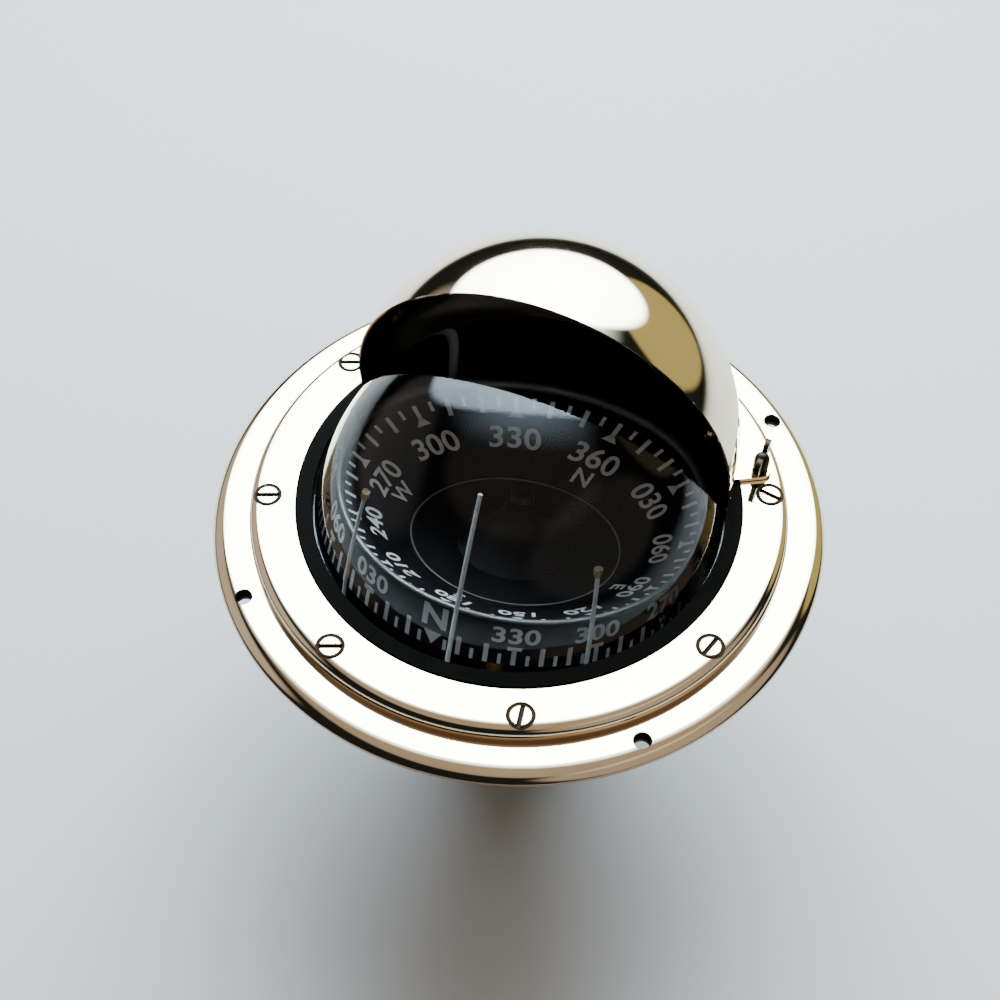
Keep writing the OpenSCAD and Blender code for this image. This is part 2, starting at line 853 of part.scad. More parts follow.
module frame_pivot_pins() {
    color(steel) swung()
        for (side = [90, 270]) rotate([0, 0, side]) {
            along_y(arm_x, gimbal_out_r - 0.6, inner_pivot_r);
            along_y(arm_x + arm_boss, gimbal_in_r - 0.8, inner_pivot_r + 0.9);
        }
}

// The tall pin stands outside the card and leans in over its rim
module main_lubber_pin() {
    knee = 2;
    collar_h = 3;
    lean = atan2(main_pin_foot_r - main_pin_tip_r, main_pin_top - frame_top - knee);
    rise = (main_pin_top - frame_top - knee) / cos(lean);
    color(white) swung() at_pins([main_pin_angle], main_pin_foot_r) translate([0, 0, frame_top]) {
        bar(pin_d / 2, pin_seat - frame_t, 1);
        bar(pin_d / 2 + 0.6, 0, collar_h);
        translate([0, 0, knee]) rotate([0, -lean, 0]) bar(pin_d / 2, 0, rise);
    }
}

module lubber_pins() {
    color(white) swung() {
        at_pins(after_pin_angles, pin_pcr) bar(pin_d / 2, frame_low + pin_seat, after_pin_top);
        at_pins(fore_pin_angles, pin_pcr) bar(pin_d / 2, frame_low + pin_seat, fore_pin_top);
    }
}

// Small turned cap on the end of a pin
module pin_cap() {
    bar(pin_d / 2 + 0.5, 0, 1.2);
    bar(pin_d / 2 + 0.9, 1.2, 3);
}

module lubber_pin_caps() {
    color(brass) swung() {
        at_pins(after_pin_angles, pin_pcr) translate([0, 0, after_pin_top]) pin_cap();
        at_pins(fore_pin_angles, pin_pcr) translate([0, 0, fore_pin_top]) pin_cap();
    }
}

module pivot_post() {
    color(brass) swung() {
        bar(post_r, weight_low - nut_h - 0.6, post_top);
        bar(tip_r, post_top - 0.5, tip_z);
        translate([0, 0, tip_z]) cylinder(r1 = tip_r, r2 = 0.3, h = tip_h);
    }
}

module weight_spacer() {
    color(brass) swung() band(post_r, 5, weight_top, frame_low);
}

module pendulum_weight() {
    waist_z = weight_low + weight_crown;
    color(brass) swung() difference() {
        union() {
            bar(weight_r, waist_z, weight_top);
            translate([0, 0, weight_low])
                cylinder(r1 = weight_r - weight_crown, r2 = weight_r, h = weight_crown);
        }
        bar(post_r, weight_low - past, weight_top + past);
    }
}

module weight_nut() {
    color(brass) swung() difference() {
        translate([0, 0, weight_low - nut_h]) cylinder(r = nut_r, h = nut_h, $fn = 6);
        bar(post_r, weight_low - nut_h - past, weight_low + past);
    }
}

// Card on its pivot

module card_dish() {
    edge_r = card_r - card_t;
    color(black) on_card() rotate_extrude()
        polygon([
            [float_in_r, flat_z - card_t],
            [dish_flat_r, flat_z - card_t],
            [edge_r, rim_z - rim_t],
            [edge_r, rim_z],
            [edge_r - rim_land, rim_z],
            [dish_flat_r, flat_z],
            [float_in_r, flat_z]
        ]);
}

module card_skirt() {
    color(black) on_card() band(card_r - card_t, card_r, skirt_low, rim_z);
}

module card_rim_bead() {
    color(steel) on_card() rotate_extrude() intersection() {
        translate([card_r - card_t / 2, rim_z + bead_lift]) circle(r = bead_r);
        translate([card_r / 2, rim_z]) square(card_r);
    }
}

// Bell-shaped float over the pivot
module card_float() {
    steps = 12;
    color(black) on_card() difference() {
        rotate_extrude() polygon(concat(
            [[0, flat_z]],
            [for (i = [0 : steps]) let (u = i / steps)
                [float_neck_r + (float_out_r - float_neck_r) * (1 - sin(90 * u)),
                 flat_z + (float_top - flat_z) * u]],
            [[0, float_top]]));
        bar(float_in_r, flat_z - past, float_roof_z);
        translate([0, 0, float_roof_z])
            cylinder(r1 = float_in_r - 4.5, r2 = jewel_r - 0.2, h = -float_roof_z);
        bar(jewel_r, -0.01, jewel_h);
        bar(cap_stem_r, jewel_h - past, float_top + past);
    }
}

module jewel_cup() {
    color(clear_tint) on_card() difference() {
        bar(jewel_r, 0, jewel_h);
        translate([0, 0, -0.2]) cylinder(r1 = 1.6, r2 = 0.5, h = 1);
    }
}

module card_cap() {
    color(brass) on_card() {
        bar(cap_stem_r, jewel_h + 0.1, float_top);
        bar(cap_r, float_top, float_top + 2);
        translate([0, 0, float_top + 2]) cylinder(r1 = cap_r, r2 = cap_r - 1.2, h = 1.6);
    }
}

module card_magnet_clips() {
    low = flat_z - card_t;
    depth = low - magnet_z + 0.6;
    color(brass) on_card() difference() {
        for (x = [-magnet_x, magnet_x], y = [-clip_y, clip_y])
            translate([x - magnet_r - 1, y - clip_w / 2, low - depth])
                cube([2 * (magnet_r + 1), clip_w, depth]);
        for (x = [-magnet_x, magnet_x])
            translate([x, 0, magnet_z]) along_y(-card_magnet_len, card_magnet_len, magnet_r);
    }
}

module card_magnets() {
    color(steel) on_card()
        for (x = [-magnet_x, magnet_x])
            translate([x, 0, magnet_z]) along_y(-card_magnet_len / 2, card_magnet_len / 2, magnet_r);
}

flange_gasket();
deck_flange();
bezel_ring();
bezel_screws();
dome();
dome_seal();
bowl();
gimbal_bowl_bushes();
filler_plug();
filler_washer();
diaphragm();
compensator_housing();
housing_screws();
compensator_cover();
cover_screws();
hood();
hood_foot();
hood_turning_ring();
hood_foot_screws();
hood_lock_screw();
hood_lock_pad();
gimbal_ring();
gimbal_outer_pins();
gimbal_inner_bushes();
lubber_frame();
frame_pivot_pins();
main_lubber_pin();
lubber_pins();
lubber_pin_caps();
pivot_post();
weight_spacer();
pendulum_weight();
weight_nut();
card_dish();
card_skirt();
card_rim_bead();
card_float();
card_cap();
jewel_cup();
card_magnet_clips();
card_magnets();
ns_adjuster_spindle();
ns_adjuster_magnet();
ns_follower_spindle();
ns_follower_magnet();
ew_adjuster_spindle();
ew_adjuster_magnet();
ew_follower_spindle();
ew_follower_magnet();
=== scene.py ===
import bmesh
import bpy
import math
from mathutils import Matrix, Vector


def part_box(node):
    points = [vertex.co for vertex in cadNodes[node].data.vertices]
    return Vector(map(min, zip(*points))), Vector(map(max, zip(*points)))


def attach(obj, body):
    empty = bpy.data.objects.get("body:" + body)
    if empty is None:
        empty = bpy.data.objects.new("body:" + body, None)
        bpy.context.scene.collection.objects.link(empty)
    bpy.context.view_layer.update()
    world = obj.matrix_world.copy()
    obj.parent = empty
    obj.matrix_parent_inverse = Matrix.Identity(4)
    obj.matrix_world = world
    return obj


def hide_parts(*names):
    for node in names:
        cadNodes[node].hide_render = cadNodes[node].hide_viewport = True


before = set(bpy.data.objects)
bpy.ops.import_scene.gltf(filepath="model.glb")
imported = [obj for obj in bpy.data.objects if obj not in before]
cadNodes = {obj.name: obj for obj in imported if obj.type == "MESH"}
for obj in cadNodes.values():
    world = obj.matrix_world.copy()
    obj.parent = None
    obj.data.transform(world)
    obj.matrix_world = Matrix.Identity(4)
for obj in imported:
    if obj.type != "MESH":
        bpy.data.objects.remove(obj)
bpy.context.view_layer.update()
scene = bpy.context.scene
print("frame loaded with", len(cadNodes), "nodes")

mm = 0.001

# where the pieces sit, in millimetres, as the CAD has them
layout = {
    "bezelTop": 12.8,
    "flangeTop": 6.0,
    "domeZ": -3.7,  # centre of the dome and of the gimbals
    "domeR": 79.4,
    "hoodFwd": 21.0,
    "hoodZ": 27.8,
    "hoodR": 75.8,
    "hoodT": 1.0,
    "restPitch": 17.0,
    "heading": 351.3,
    "cardR": 51.0,
    "cardT": 0.8,
    "rimLand": 1.0,
    "dishFlatR": 29.0,
    "rimZ": -1.6,
    "flatZ": -9.0,
}


# shader helpers


def newMaterial(name):
    material = bpy.data.materials.new(name)
    material.use_nodes = True
    tree = material.node_tree
    tree.nodes.clear()
    output = tree.nodes.new("ShaderNodeOutputMaterial")
    shader = tree.nodes.new("ShaderNodeBsdfPrincipled")
    tree.links.new(shader.outputs["BSDF"], output.inputs["Surface"])
    return material, tree, shader


def addNode(tree, kind, **values):
    node = tree.nodes.new(kind)
    for key, value in values.items():
        setattr(node, key, value)
    return node


def objectCoords(tree):
    return addNode(tree, "ShaderNodeTexCoord").outputs["Object"]


def mathNode(tree, operation, first, second=None, third=None):
    node = addNode(tree, "ShaderNodeMath", operation=operation)
    for i, value in enumerate((first, second, third)):
        if value is None:
            continue
        if isinstance(value, (int, float)):
            node.inputs[i].default_value = value
        else:
            tree.links.new(value, node.inputs[i])
    return node.outputs[0]


def newGroup(name, inputs, outputs):
    group = bpy.data.node_groups.new(name, "ShaderNodeTree")
    for label, kind, value in inputs:
        socket = group.interface.new_socket(name=label, in_out="INPUT", socket_type=kind)
        if value is not None:
            socket.default_value = value
    for label, kind in outputs:
        group.interface.new_socket(name=label, in_out="OUTPUT", socket_type=kind)
    return group, group.nodes.new("NodeGroupInput"), group.nodes.new("NodeGroupOutput")


def buildPolishGroup():
    # cloudy handling marks and very fine scratches on a polished or painted face
    group, given, result = newGroup(
        "polishMarks",
        [("Vector", "NodeSocketVector", None), ("Base Roughness", "NodeSocketFloat", 0.1),
         ("Cloud", "NodeSocketFloat", 0.05), ("Scratch", "NodeSocketFloat", 0.3)],
        [("Roughness", "NodeSocketFloat"), ("Mask", "NodeSocketFloat"), ("Height", "NodeSocketFloat")],
    )
    cloud = addNode(group, "ShaderNodeTexNoise")
    cloud.inputs["Scale"].default_value = 28.0
    cloud.inputs["Detail"].default_value = 5.0
    cloud.inputs["Distortion"].default_value = 0.6
    group.links.new(given.outputs["Vector"], cloud.inputs["Vector"])
    stretch = addNode(group, "ShaderNodeMapping")
    stretch.inputs["Scale"].default_value = (900.0, 60.0, 300.0)
    stretch.inputs["Rotation"].default_value = (0.0, 0.0, 0.6)
    group.links.new(given.outputs["Vector"], stretch.inputs["Vector"])
    scratch = addNode(group, "ShaderNodeTexNoise")
    scratch.inputs["Scale"].default_value = 1.0
    scratch.inputs["Detail"].default_value = 3.0
    group.links.new(stretch.outputs["Vector"], scratch.inputs["Vector"])
    spread = addNode(group, "ShaderNodeMapRange")
    spread.inputs["From Min"].default_value = 0.45
    spread.inputs["From Max"].default_value = 0.72
    group.links.new(cloud.outputs["Fac"], spread.inputs["Value"])
    rough = mathNode(group, "MULTIPLY_ADD", spread.outputs["Result"], given.outputs["Cloud"],
                     given.outputs["Base Roughness"])
    height = mathNode(group, "MULTIPLY", scratch.outputs["Fac"], given.outputs["Scratch"])
    group.links.new(rough, result.inputs["Roughness"])
    group.links.new(spread.outputs["Result"], result.inputs["Mask"])
    group.links.new(height, result.inputs["Height"])
    return group


polishMarks = buildPolishGroup()


def placePolish(tree, vector, base, cloud, scratch):
    node = addNode(tree, "ShaderNodeGroup", node_tree=polishMarks)
    node.inputs["Base Roughness"].default_value = base
    node.inputs["Cloud"].default_value = cloud
    node.inputs["Scratch"].default_value = scratch
    tree.links.new(vector, node.inputs["Vector"])
    return node


def addBump(tree, shader, height, strength, distance):
    bump = addNode(tree, "ShaderNodeBump")
    bump.inputs["Strength"].default_value = strength
    bump.inputs["Distance"].default_value = distance
    tree.links.new(height, bump.inputs["Height"])
    tree.links.new(bump.outputs["Normal"], shader.inputs["Normal"])


def mixColours(tree, mask, first, second):
    mix = addNode(tree, "ShaderNodeMix", data_type="RGBA")
    mix.inputs["A"].default_value = (*first, 1.0)
    mix.inputs["B"].default_value = (*second, 1.0)
    tree.links.new(mask, mix.inputs["Factor"])
    return mix.outputs["Result"]


def layColour(tree, mask, under, colour):
    mix = addNode(tree, "ShaderNodeMix", data_type="RGBA")
    tree.links.new(mask, mix.inputs["Factor"])
    tree.links.new(under, mix.inputs["A"])
    mix.inputs["B"].default_value = (*colour, 1.0)
    return mix.outputs["Result"]


# materials

brassLook = {
    "bright": (0.93, 0.79, 0.56),
    "handled": (0.86, 0.70, 0.46),
    "roughness": 0.045,
    "cloud": 0.05,
    "scratch": 0.35,
}


def makeBrass(name, look):
    material, tree, shader = newMaterial(name)
    marks = placePolish(tree, objectCoords(tree), look["roughness"], look["cloud"], look["scratch"])
    tree.links.new(mixColours(tree, marks.outputs["Mask"], look["bright"], look["handled"]),
                   shader.inputs["Base Color"])
    tree.links.new(marks.outputs["Roughness"], shader.inputs["Roughness"])
    shader.inputs["Metallic"].default_value = 1.0
    addBump(tree, shader, marks.outputs["Height"], 0.04, 0.0002)
    return material


machinedLook = {
    "bright": (0.80, 0.62, 0.36),
    "handled": (0.62, 0.45, 0.24),
    "roughness": 0.22,
    "cloud": 0.12,
    "scratch": 0.8,
}

# brass painted nearly black as dark reflection and shade, for the hood's lock screw and the card's cap
shadedBrassLook = {
    "bright": (0.024, 0.016, 0.010),
    "handled": (0.012, 0.008, 0.006),
    "roughness": 0.38,
    "cloud": 0.15,
    "scratch": 0.8,
}

rimLook = {
    "bright": (0.15, 0.158, 0.16),
    "handled": (0.12, 0.128, 0.13),
    "roughness": 0.5,
    "cloud": 0.08,
    "scratch": 0.5,
}

steelLook = {
    "bright": (0.62, 0.63, 0.65),
    "handled": (0.48, 0.49, 0.51),
    "roughness": 0.25,
    "cloud": 0.12,
    "scratch": 0.8,
}

polishedBrass = makeBrass("polishedBrass", brassLook)
machinedBrass = makeBrass("machinedBrass", machinedLook)
plainSteel = makeBrass("plainSteel", steelLook)
shadedBrass = makeBrass("shadedBrass", shadedBrassLook)
rimMetal = makeBrass("rimMetal", rimLook)

hoodLook = {
    "inside": (0.006, 0.006, 0.007),
    "insideRoughness": 0.06,  # added to the brass's own
    "paintDepth": 0.35,  # how far out from the inner face the black reaches, mm
}


screwLook = {
    "count": 8,
    "first": 22.5,
    "pcr": 95.9,
    "top": layout["bezelTop"],
    "ringFrom": 3.8,  # the ring of painted shade round a head, mm from its centre
    "ringTo": 5.4,
    "shadeBelow": 0.04,  # what lies lower than this under the top face near a head is painted with shade, mm
    "headR": 4.6,
    "headLand": 0.5,
    "headBreak": 0.2,
    "shankR": 2.5,
    "slotWidth": 1.2,
    "slotFlare": 0.35,  # worn edges of a slot
    "slotDepth": 1.2,
    "slotAngles": (-9.6, 60, 130, 22.5, 22.5, 22.5, 100.4, 73.8),
    # painted shade in the hollows round and in each head
    "hollowShade": (0.045, 0.030, 0.019),
    "wallShadeTop": 9.6,  # the wall below this height is dull and painted darker as shade, mm
    "wallShadeFoot": 7.2,
    # painted shade low on the bezel's wall, darker towards its foot
    "wall": (0.20, 0.115, 0.07),
}


holeLook = {
    "count": 4,
    "first": 45.0,
    "pcr": 110.5,
    "top": layout["flangeTop"],
    "ringFrom": 2.8,
    "ringTo": 3.3,
    "shadeBelow": 0.3,
    # painted shade in and round each hole
    "hollowShade": (0.020, 0.014, 0.010),
    # painted shade low on the flange's edge and in the holes, darker towards the foot
    "wallShadeTop": 3.4,
    "wallShadeFoot": 2.4,
    "wall": (0.42, 0.28, 0.19),
}


def makeBrassWithShade(name, look):
    # polished brass with painted shade round and in its screw heads or holes, and painted shade low on its
    # wall
    material, tree, shader = newMaterial(name)
    coords = objectCoords(tree)
    marks = placePolish(tree, coords, brassLook["roughness"], brassLook["cloud"], brassLook["scratch"])
    split = addNode(tree, "ShaderNodeSeparateXYZ")
    tree.links.new(coords, split.inputs["Vector"])
    bearing = mathNode(tree, "ARCTAN2", split.outputs["Y"], split.outputs["X"])
    half = math.pi / look["count"]
    turned = mathNode(tree, "SUBTRACT", bearing, math.radians(look["first"]))
    folded = mathNode(tree, "WRAP", turned, half, -half)
    flat = addNode(tree, "ShaderNodeCombineXYZ")
    tree.links.new(split.outputs["X"], flat.inputs["X"])
    tree.links.new(split.outputs["Y"], flat.inputs["Y"])
    reach = addNode(tree, "ShaderNodeVectorMath", operation="LENGTH")
    tree.links.new(flat.outputs["Vector"], reach.inputs[0])
    along = mathNode(tree, "MULTIPLY", reach.outputs["Value"], mathNode(tree, "COSINE", folded))
    away = mathNode(tree, "SUBTRACT", along, look["pcr"] * mm)
    across = mathNode(tree, "MULTIPLY", reach.outputs["Value"], mathNode(tree, "SINE", folded))
    spot = addNode(tree, "ShaderNodeCombineXYZ")
    tree.links.new(away, spot.inputs["X"])
    tree.links.new(across, spot.inputs["Y"])
    distance = addNode(tree, "ShaderNodeVectorMath", operation="LENGTH")
    tree.links.new(spot.outputs["Vector"], distance.inputs[0])
    ragged = mathNode(tree, "MULTIPLY_ADD", marks.outputs["Mask"], 0.15 * mm, distance.outputs["Value"])
    outer = mathNode(tree, "LESS_THAN", ragged, look["ringTo"] * mm)
    inner = mathNode(tree, "GREATER_THAN", ragged, look["ringFrom"] * mm)
    ring = mathNode(tree, "MULTIPLY", outer, inner)
    # painted shade in the hollows: the ring round each head or hole, and what lies below the top face near it
    sunk = mathNode(tree, "LESS_THAN", split.outputs["Z"], (look["top"] - look["shadeBelow"]) * mm)
    nearHead = mathNode(tree, "LESS_THAN", distance.outputs["Value"], look["ringTo"] * mm)
    paintedShade = mathNode(tree, "MAXIMUM", ring, mathNode(tree, "MULTIPLY", sunk, nearHead))
    # painted shade low on the wall, darker towards its foot
    wall = addNode(tree, "ShaderNodeMapRange", interpolation_type="SMOOTHSTEP")
    wall.inputs["From Min"].default_value = look["wallShadeTop"] * mm
    wall.inputs["From Max"].default_value = look["wallShadeFoot"] * mm
    tree.links.new(split.outputs["Z"], wall.inputs["Value"])
    brass = mixColours(tree, marks.outputs["Mask"], brassLook["bright"], brassLook["handled"])
    brass = layColour(tree, wall.outputs["Result"], brass, look["wall"])
    brass = layColour(tree, paintedShade, brass, look["hollowShade"])
    tree.links.new(brass, shader.inputs["Base Color"])
    tree.links.new(mathNode(tree, "SUBTRACT", 1.0, paintedShade), shader.inputs["Metallic"])
    shader.inputs["Specular IOR Level"].default_value = 0.0
    dull = mathNode(tree, "MULTIPLY_ADD", wall.outputs["Result"], 0.12, marks.outputs["Roughness"])
    tree.links.new(mathNode(tree, "MULTIPLY_ADD", paintedShade, 0.45, dull), shader.inputs["Roughness"])
    addBump(tree, shader, marks.outputs["Height"], 0.04, 0.0002)
    return material


screwedBrass = makeBrassWithShade("screwedBrass", screwLook)
drilledBrass = makeBrassWithShade("drilledBrass", holeLook)


def makeHoodFinish():
    # bright outside and along the edge, black paint on the inner face only
    material, tree, shader = newMaterial("hoodFinish")
    coords = objectCoords(tree)
    marks = placePolish(tree, coords, brassLook["roughness"], brassLook["cloud"], brassLook["scratch"])
    split = addNode(tree, "ShaderNodeSeparateXYZ")
    tree.links.new(coords, split.inputs["Vector"])
    ahead = mathNode(tree, "SUBTRACT", split.outputs["Y"], layout["hoodFwd"] * mm)
    height = mathNode(tree, "SUBTRACT", split.outputs["Z"], layout["hoodZ"] * mm)
    above = mathNode(tree, "MAXIMUM", height, 0.0)
    joined = addNode(tree, "ShaderNodeCombineXYZ")
    tree.links.new(split.outputs["X"], joined.inputs["X"])
    tree.links.new(ahead, joined.inputs["Y"])
    tree.links.new(above, joined.inputs["Z"])
    length = addNode(tree, "ShaderNodeVectorMath", operation="LENGTH")
    tree.links.new(joined.outputs["Vector"], length.inputs[0])
    edge = (layout["hoodR"] - layout["hoodT"] + hoodLook["paintDepth"]) * mm
    inside = mathNode(tree, "LESS_THAN", length.outputs["Value"], edge)
    brass = mixColours(tree, marks.outputs["Mask"], brassLook["bright"], brassLook["handled"])
    tree.links.new(layColour(tree, inside, brass, hoodLook["inside"]), shader.inputs["Base Color"])
    tree.links.new(mathNode(tree, "SUBTRACT", 1.0, inside), shader.inputs["Metallic"])
    rough = mathNode(tree, "MULTIPLY_ADD", inside, hoodLook["insideRoughness"], marks.outputs["Roughness"])
    tree.links.new(rough, shader.inputs["Roughness"])
    addBump(tree, shader, marks.outputs["Height"], 0.04, 0.0002)
    return material


hoodFinish = makeHoodFinish()


def makePaint(name, colour, worn, roughness, cloud, grain, grainScale, gloss=0.5):
    # satin paint or moulded plastic with a fine grain
    material, tree, shader = newMaterial(name)
    coords = objectCoords(tree)
    marks = placePolish(tree, coords, roughness, cloud, 0.4)
    tree.links.new(mixColours(tree, marks.outputs["Mask"], colour, worn), shader.inputs["Base Color"])
    tree.links.new(marks.outputs["Roughness"], shader.inputs["Roughness"])
    shader.inputs["Specular IOR Level"].default_value = gloss
    grainTexture = addNode(tree, "ShaderNodeTexNoise")
    grainTexture.inputs["Scale"].default_value = grainScale
    grainTexture.inputs["Detail"].default_value = 2.0
    tree.links.new(coords, grainTexture.inputs["Vector"])
    addBump(tree, shader, grainTexture.outputs["Fac"], grain, 0.0002)
    return material


blackPaint = makePaint("blackPaint", (0.006, 0.006, 0.007), (0.010, 0.010, 0.011), 0.34, 0.12, 0.10, 900.0)
matBlack = makePaint("matBlack", (0.0025, 0.0024, 0.002), (0.004, 0.0036, 0.003),
                     0.75, 0.1, 0.12, 900.0, 0.02)
blackPlastic = makePaint("blackPlastic", (0.008, 0.008, 0.009), (0.013, 0.013, 0.014), 0.5, 0.1, 0.12, 1400.0)
cardBlack = makePaint("cardBlack", (0.004, 0.004, 0.005), (0.006, 0.006, 0.007), 0.5, 0.1, 0.08, 1600.0, 0.12)
paleEnamel = makePaint("paleEnamel", (0.30, 0.32, 0.32), (0.24, 0.26, 0.26), 0.4, 0.1, 0.05, 1200.0, 0.3)
# the same white print as the skirt's, painted lighter on the dish to make up for the hood's shade
litDishInk = makePaint("litDishInk", (0.58, 0.60, 0.61), (0.48, 0.50, 0.51), 0.6, 0.1, 0.05, 1500.0, 0.1)
skirtInk = makePaint("skirtInk", (0.26, 0.27, 0.27), (0.20, 0.21, 0.21), 0.6, 0.1, 0.05, 1500.0, 0.2)
faintInk = makePaint("faintInk", (0.15, 0.16, 0.17), (0.11, 0.12, 0.13), 0.6, 0.1, 0.05, 1500.0, 0.2)
rubber = makePaint("rubber", (0.015, 0.015, 0.015), (0.024, 0.023, 0.022), 0.65, 0.12, 0.2, 800.0)

domeLook = {"ior": 1.44, "tint": (1.0, 1.0, 1.0), "shine": (0.62, 0.68, 0.72)}


def makeClear():
    # clear liquid-filled dome that lamps shine through unhindered
    material, tree, shader = newMaterial("clearDome")
    shader.inputs["Base Color"].default_value = (*domeLook["tint"], 1.0)
    shader.inputs["Roughness"].default_value = 0.0
    shader.inputs["IOR"].default_value = domeLook["ior"]
    shader.inputs["Specular Tint"].default_value = (*domeLook["shine"], 1.0)
    shader.inputs["Transmission Weight"].default_value = 1.0
    output = next(n for n in tree.nodes if n.type == "OUTPUT_MATERIAL")
    path = addNode(tree, "ShaderNodeLightPath")
    passing = addNode(tree, "ShaderNodeBsdfTransparent")
    mix = addNode(tree, "ShaderNodeMixShader")
    tree.links.new(path.outputs["Is Shadow Ray"], mix.inputs["Fac"])
    tree.links.new(shader.outputs["BSDF"], mix.inputs[1])
    tree.links.new(passing.outputs["BSDF"], mix.inputs[2])
    tree.links.new(mix.outputs["Shader"], output.inputs["Surface"])
    return material


clearDome = makeClear()
print("materials made")

finishes = {
    "deck_flange": drilledBrass, "bezel_ring": screwedBrass, "bezel_screws": screwedBrass,
    "hood": hoodFinish, "hood_foot": polishedBrass, "hood_foot_screws": polishedBrass,
    # the lock screw and the card's cap take brass painted nearly black as dark reflection and shade
    "hood_lock_screw": shadedBrass, "card_cap": shadedBrass, "filler_plug": polishedBrass,
    "flange_gasket": rubber, "dome_seal": rubber, "filler_washer": rubber, "diaphragm": rubber,
    "bowl": blackPaint, "hood_turning_ring": matBlack, "gimbal_ring": blackPaint, "lubber_frame": blackPaint,
    "compensator_housing": blackPlastic, "compensator_cover": blackPlastic,
    "card_dish": cardBlack, "card_skirt": cardBlack, "card_float": cardBlack,
    "main_lubber_pin": paleEnamel, "lubber_pins": paleEnamel, "card_rim_bead": rimMetal,
    "hood_lock_pad": paleEnamel, "jewel_cup": clearDome,
    "housing_screws": plainSteel, "cover_screws": plainSteel, "frame_pivot_pins": plainSteel,
    "card_magnets": plainSteel, "ns_adjuster_magnet": plainSteel, "ns_follower_magnet": plainSteel,
    "ew_adjuster_magnet": plainSteel, "ew_follower_magnet": plainSteel,
}
for name, node in cadNodes.items():
    node.data.materials.clear()
    node.data.materials.append(finishes.get(name, machinedBrass))
print("finishes set on the CAD nodes")


# mesh helpers


def meshPiece(name, mesh, material, body, replaced=()):
    piece = bpy.data.objects.new(name, mesh)
    scene.collection.objects.link(piece)
    mesh.materials.clear()
    mesh.materials.append(material)
    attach(piece, body)
    if replaced:
        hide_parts(*replaced)
    return piece


def turnedMesh(name, profile, steps, centre=(0.0, 0.0), closed=True):
    # profile is a list of (radius, height) in millimetres, turned about a vertical axis
    mesh = bpy.data.meshes.new(name)
    work = bmesh.new()
    rings = []
    for radius, height in profile:
        if radius < 1e-6:
            rings.append([work.verts.new((centre[0] * mm, centre[1] * mm, height * mm))])
            continue
        rings.append([
            work.verts.new(((centre[0] + radius * math.cos(2 * math.pi * i / steps)) * mm,
                            (centre[1] + radius * math.sin(2 * math.pi * i / steps)) * mm, height * mm))
            for i in range(steps)
        ])
    pairs = list(zip(rings, rings[1:]))
    if closed:
        pairs.append((rings[-1], rings[0]))
    for low, high in pairs:
        if len(low) == 1 and len(high) == 1:
            continue
        for i in range(steps):
            j = (i + 1) % steps
            if len(low) == 1:
                work.faces.new((low[0], high[j], high[i]))
            elif len(high) == 1:
                work.faces.new((low[i], low[j], high[0]))
            else:
                work.faces.new((low[i], low[j], high[j], high[i]))
    bmesh.ops.recalc_face_normals(work, faces=work.faces)
    work.to_mesh(mesh)
    work.free()
    return mesh


def plainMesh(holder):
    bpy.context.view_layer.update()
    evaluated = holder.evaluated_get(bpy.context.evaluated_depsgraph_get())
    return bpy.data.meshes.new_from_object(evaluated)


def heldMesh(mesh):
    holder = bpy.data.objects.new("holder", mesh)
    scene.collection.objects.link(holder)
    return holder


def joinMeshes(name, meshes):
    joined = bmesh.new()
    for mesh in meshes:
        joined.from_mesh(mesh)
        bpy.data.meshes.remove(mesh)
    made = bpy.data.meshes.new(name)
    joined.to_mesh(made)
    joined.free()
    return made


def smoothShade(mesh, angle):
    mesh.polygons.foreach_set("use_smooth", [True] * len(mesh.polygons))
    mesh.set_sharp_from_angle(angle=math.radians(angle))


def arc(centre, radius, first, last, steps):
    # points of an arc in a profile, angles in degrees from the radius direction upwards
    return [
        (centre[0] + radius * math.cos(math.radians(first + (last - first) * i / steps)),
         centre[1] + radius * math.sin(math.radians(first + (last - first) * i / steps)))
        for i in range(steps + 1)
    ]


# dome and the liquid behind it, as one clear body

domeBody = {
    "steps": 256,
    "arcSteps": 72,
    "shoulder": 9.8,
    "base": 6.8,
    "flangeR": 91.0,
    "clearR": 80.2,  # the flange is bedded in black from here outwards
    "bowlInR": 80.0,
    "wallInside": 0.6,  # the liquid reaches this far into the bowl's wall, mm
    "footDrop": 0.4,  # the clear foot goes this far under the flange's base
    "liquidDrop": 0.6,
    "bedGap": 0.02,
    "ventR": 32.6,
    "ventLow": -88.6,
}


def domeProfile(d):
    centre = (0.0, layout["domeZ"])
    shoulderAngle = math.degrees(math.asin((d["shoulder"] - layout["domeZ"]) / layout["domeR"]))
    points = arc(centre, layout["domeR"], 90.0, shoulderAngle, d["arcSteps"])
    points[0] = (0.0, points[0][1])
    liquidR = d["bowlInR"] + d["wallInside"]
    startAngle = math.degrees(math.asin((d["base"] - d["liquidDrop"] - layout["domeZ"]) / liquidR))
    ventAngle = -math.degrees(math.acos(d["ventR"] / liquidR))
    points += [(d["clearR"], d["shoulder"]), (d["clearR"], d["base"] - d["footDrop"])]
    points += arc(centre, liquidR, startAngle, ventAngle, d["arcSteps"])
    points += [(d["ventR"], d["ventLow"]), (0.0, d["ventLow"])]
    return points


def makeDome():
    d = domeBody
    mesh = turnedMesh("clear_dome", domeProfile(d), d["steps"], closed=False)
    smoothShade(mesh, 30)
    meshPiece("clear_dome", mesh, clearDome, "case", ["dome"])
    bedR = d["clearR"] + d["bedGap"]
    section = [(bedR, d["base"]), (d["flangeR"], d["base"]),
               (d["flangeR"], d["shoulder"]), (bedR, d["shoulder"])]
    bed = turnedMesh("dome_bedding", section, d["steps"])
    smoothShade(bed, 30)
    meshPiece("dome_bedding", bed, matBlack, "case", ["dome"])


makeDome()
print("dome made")


# card print

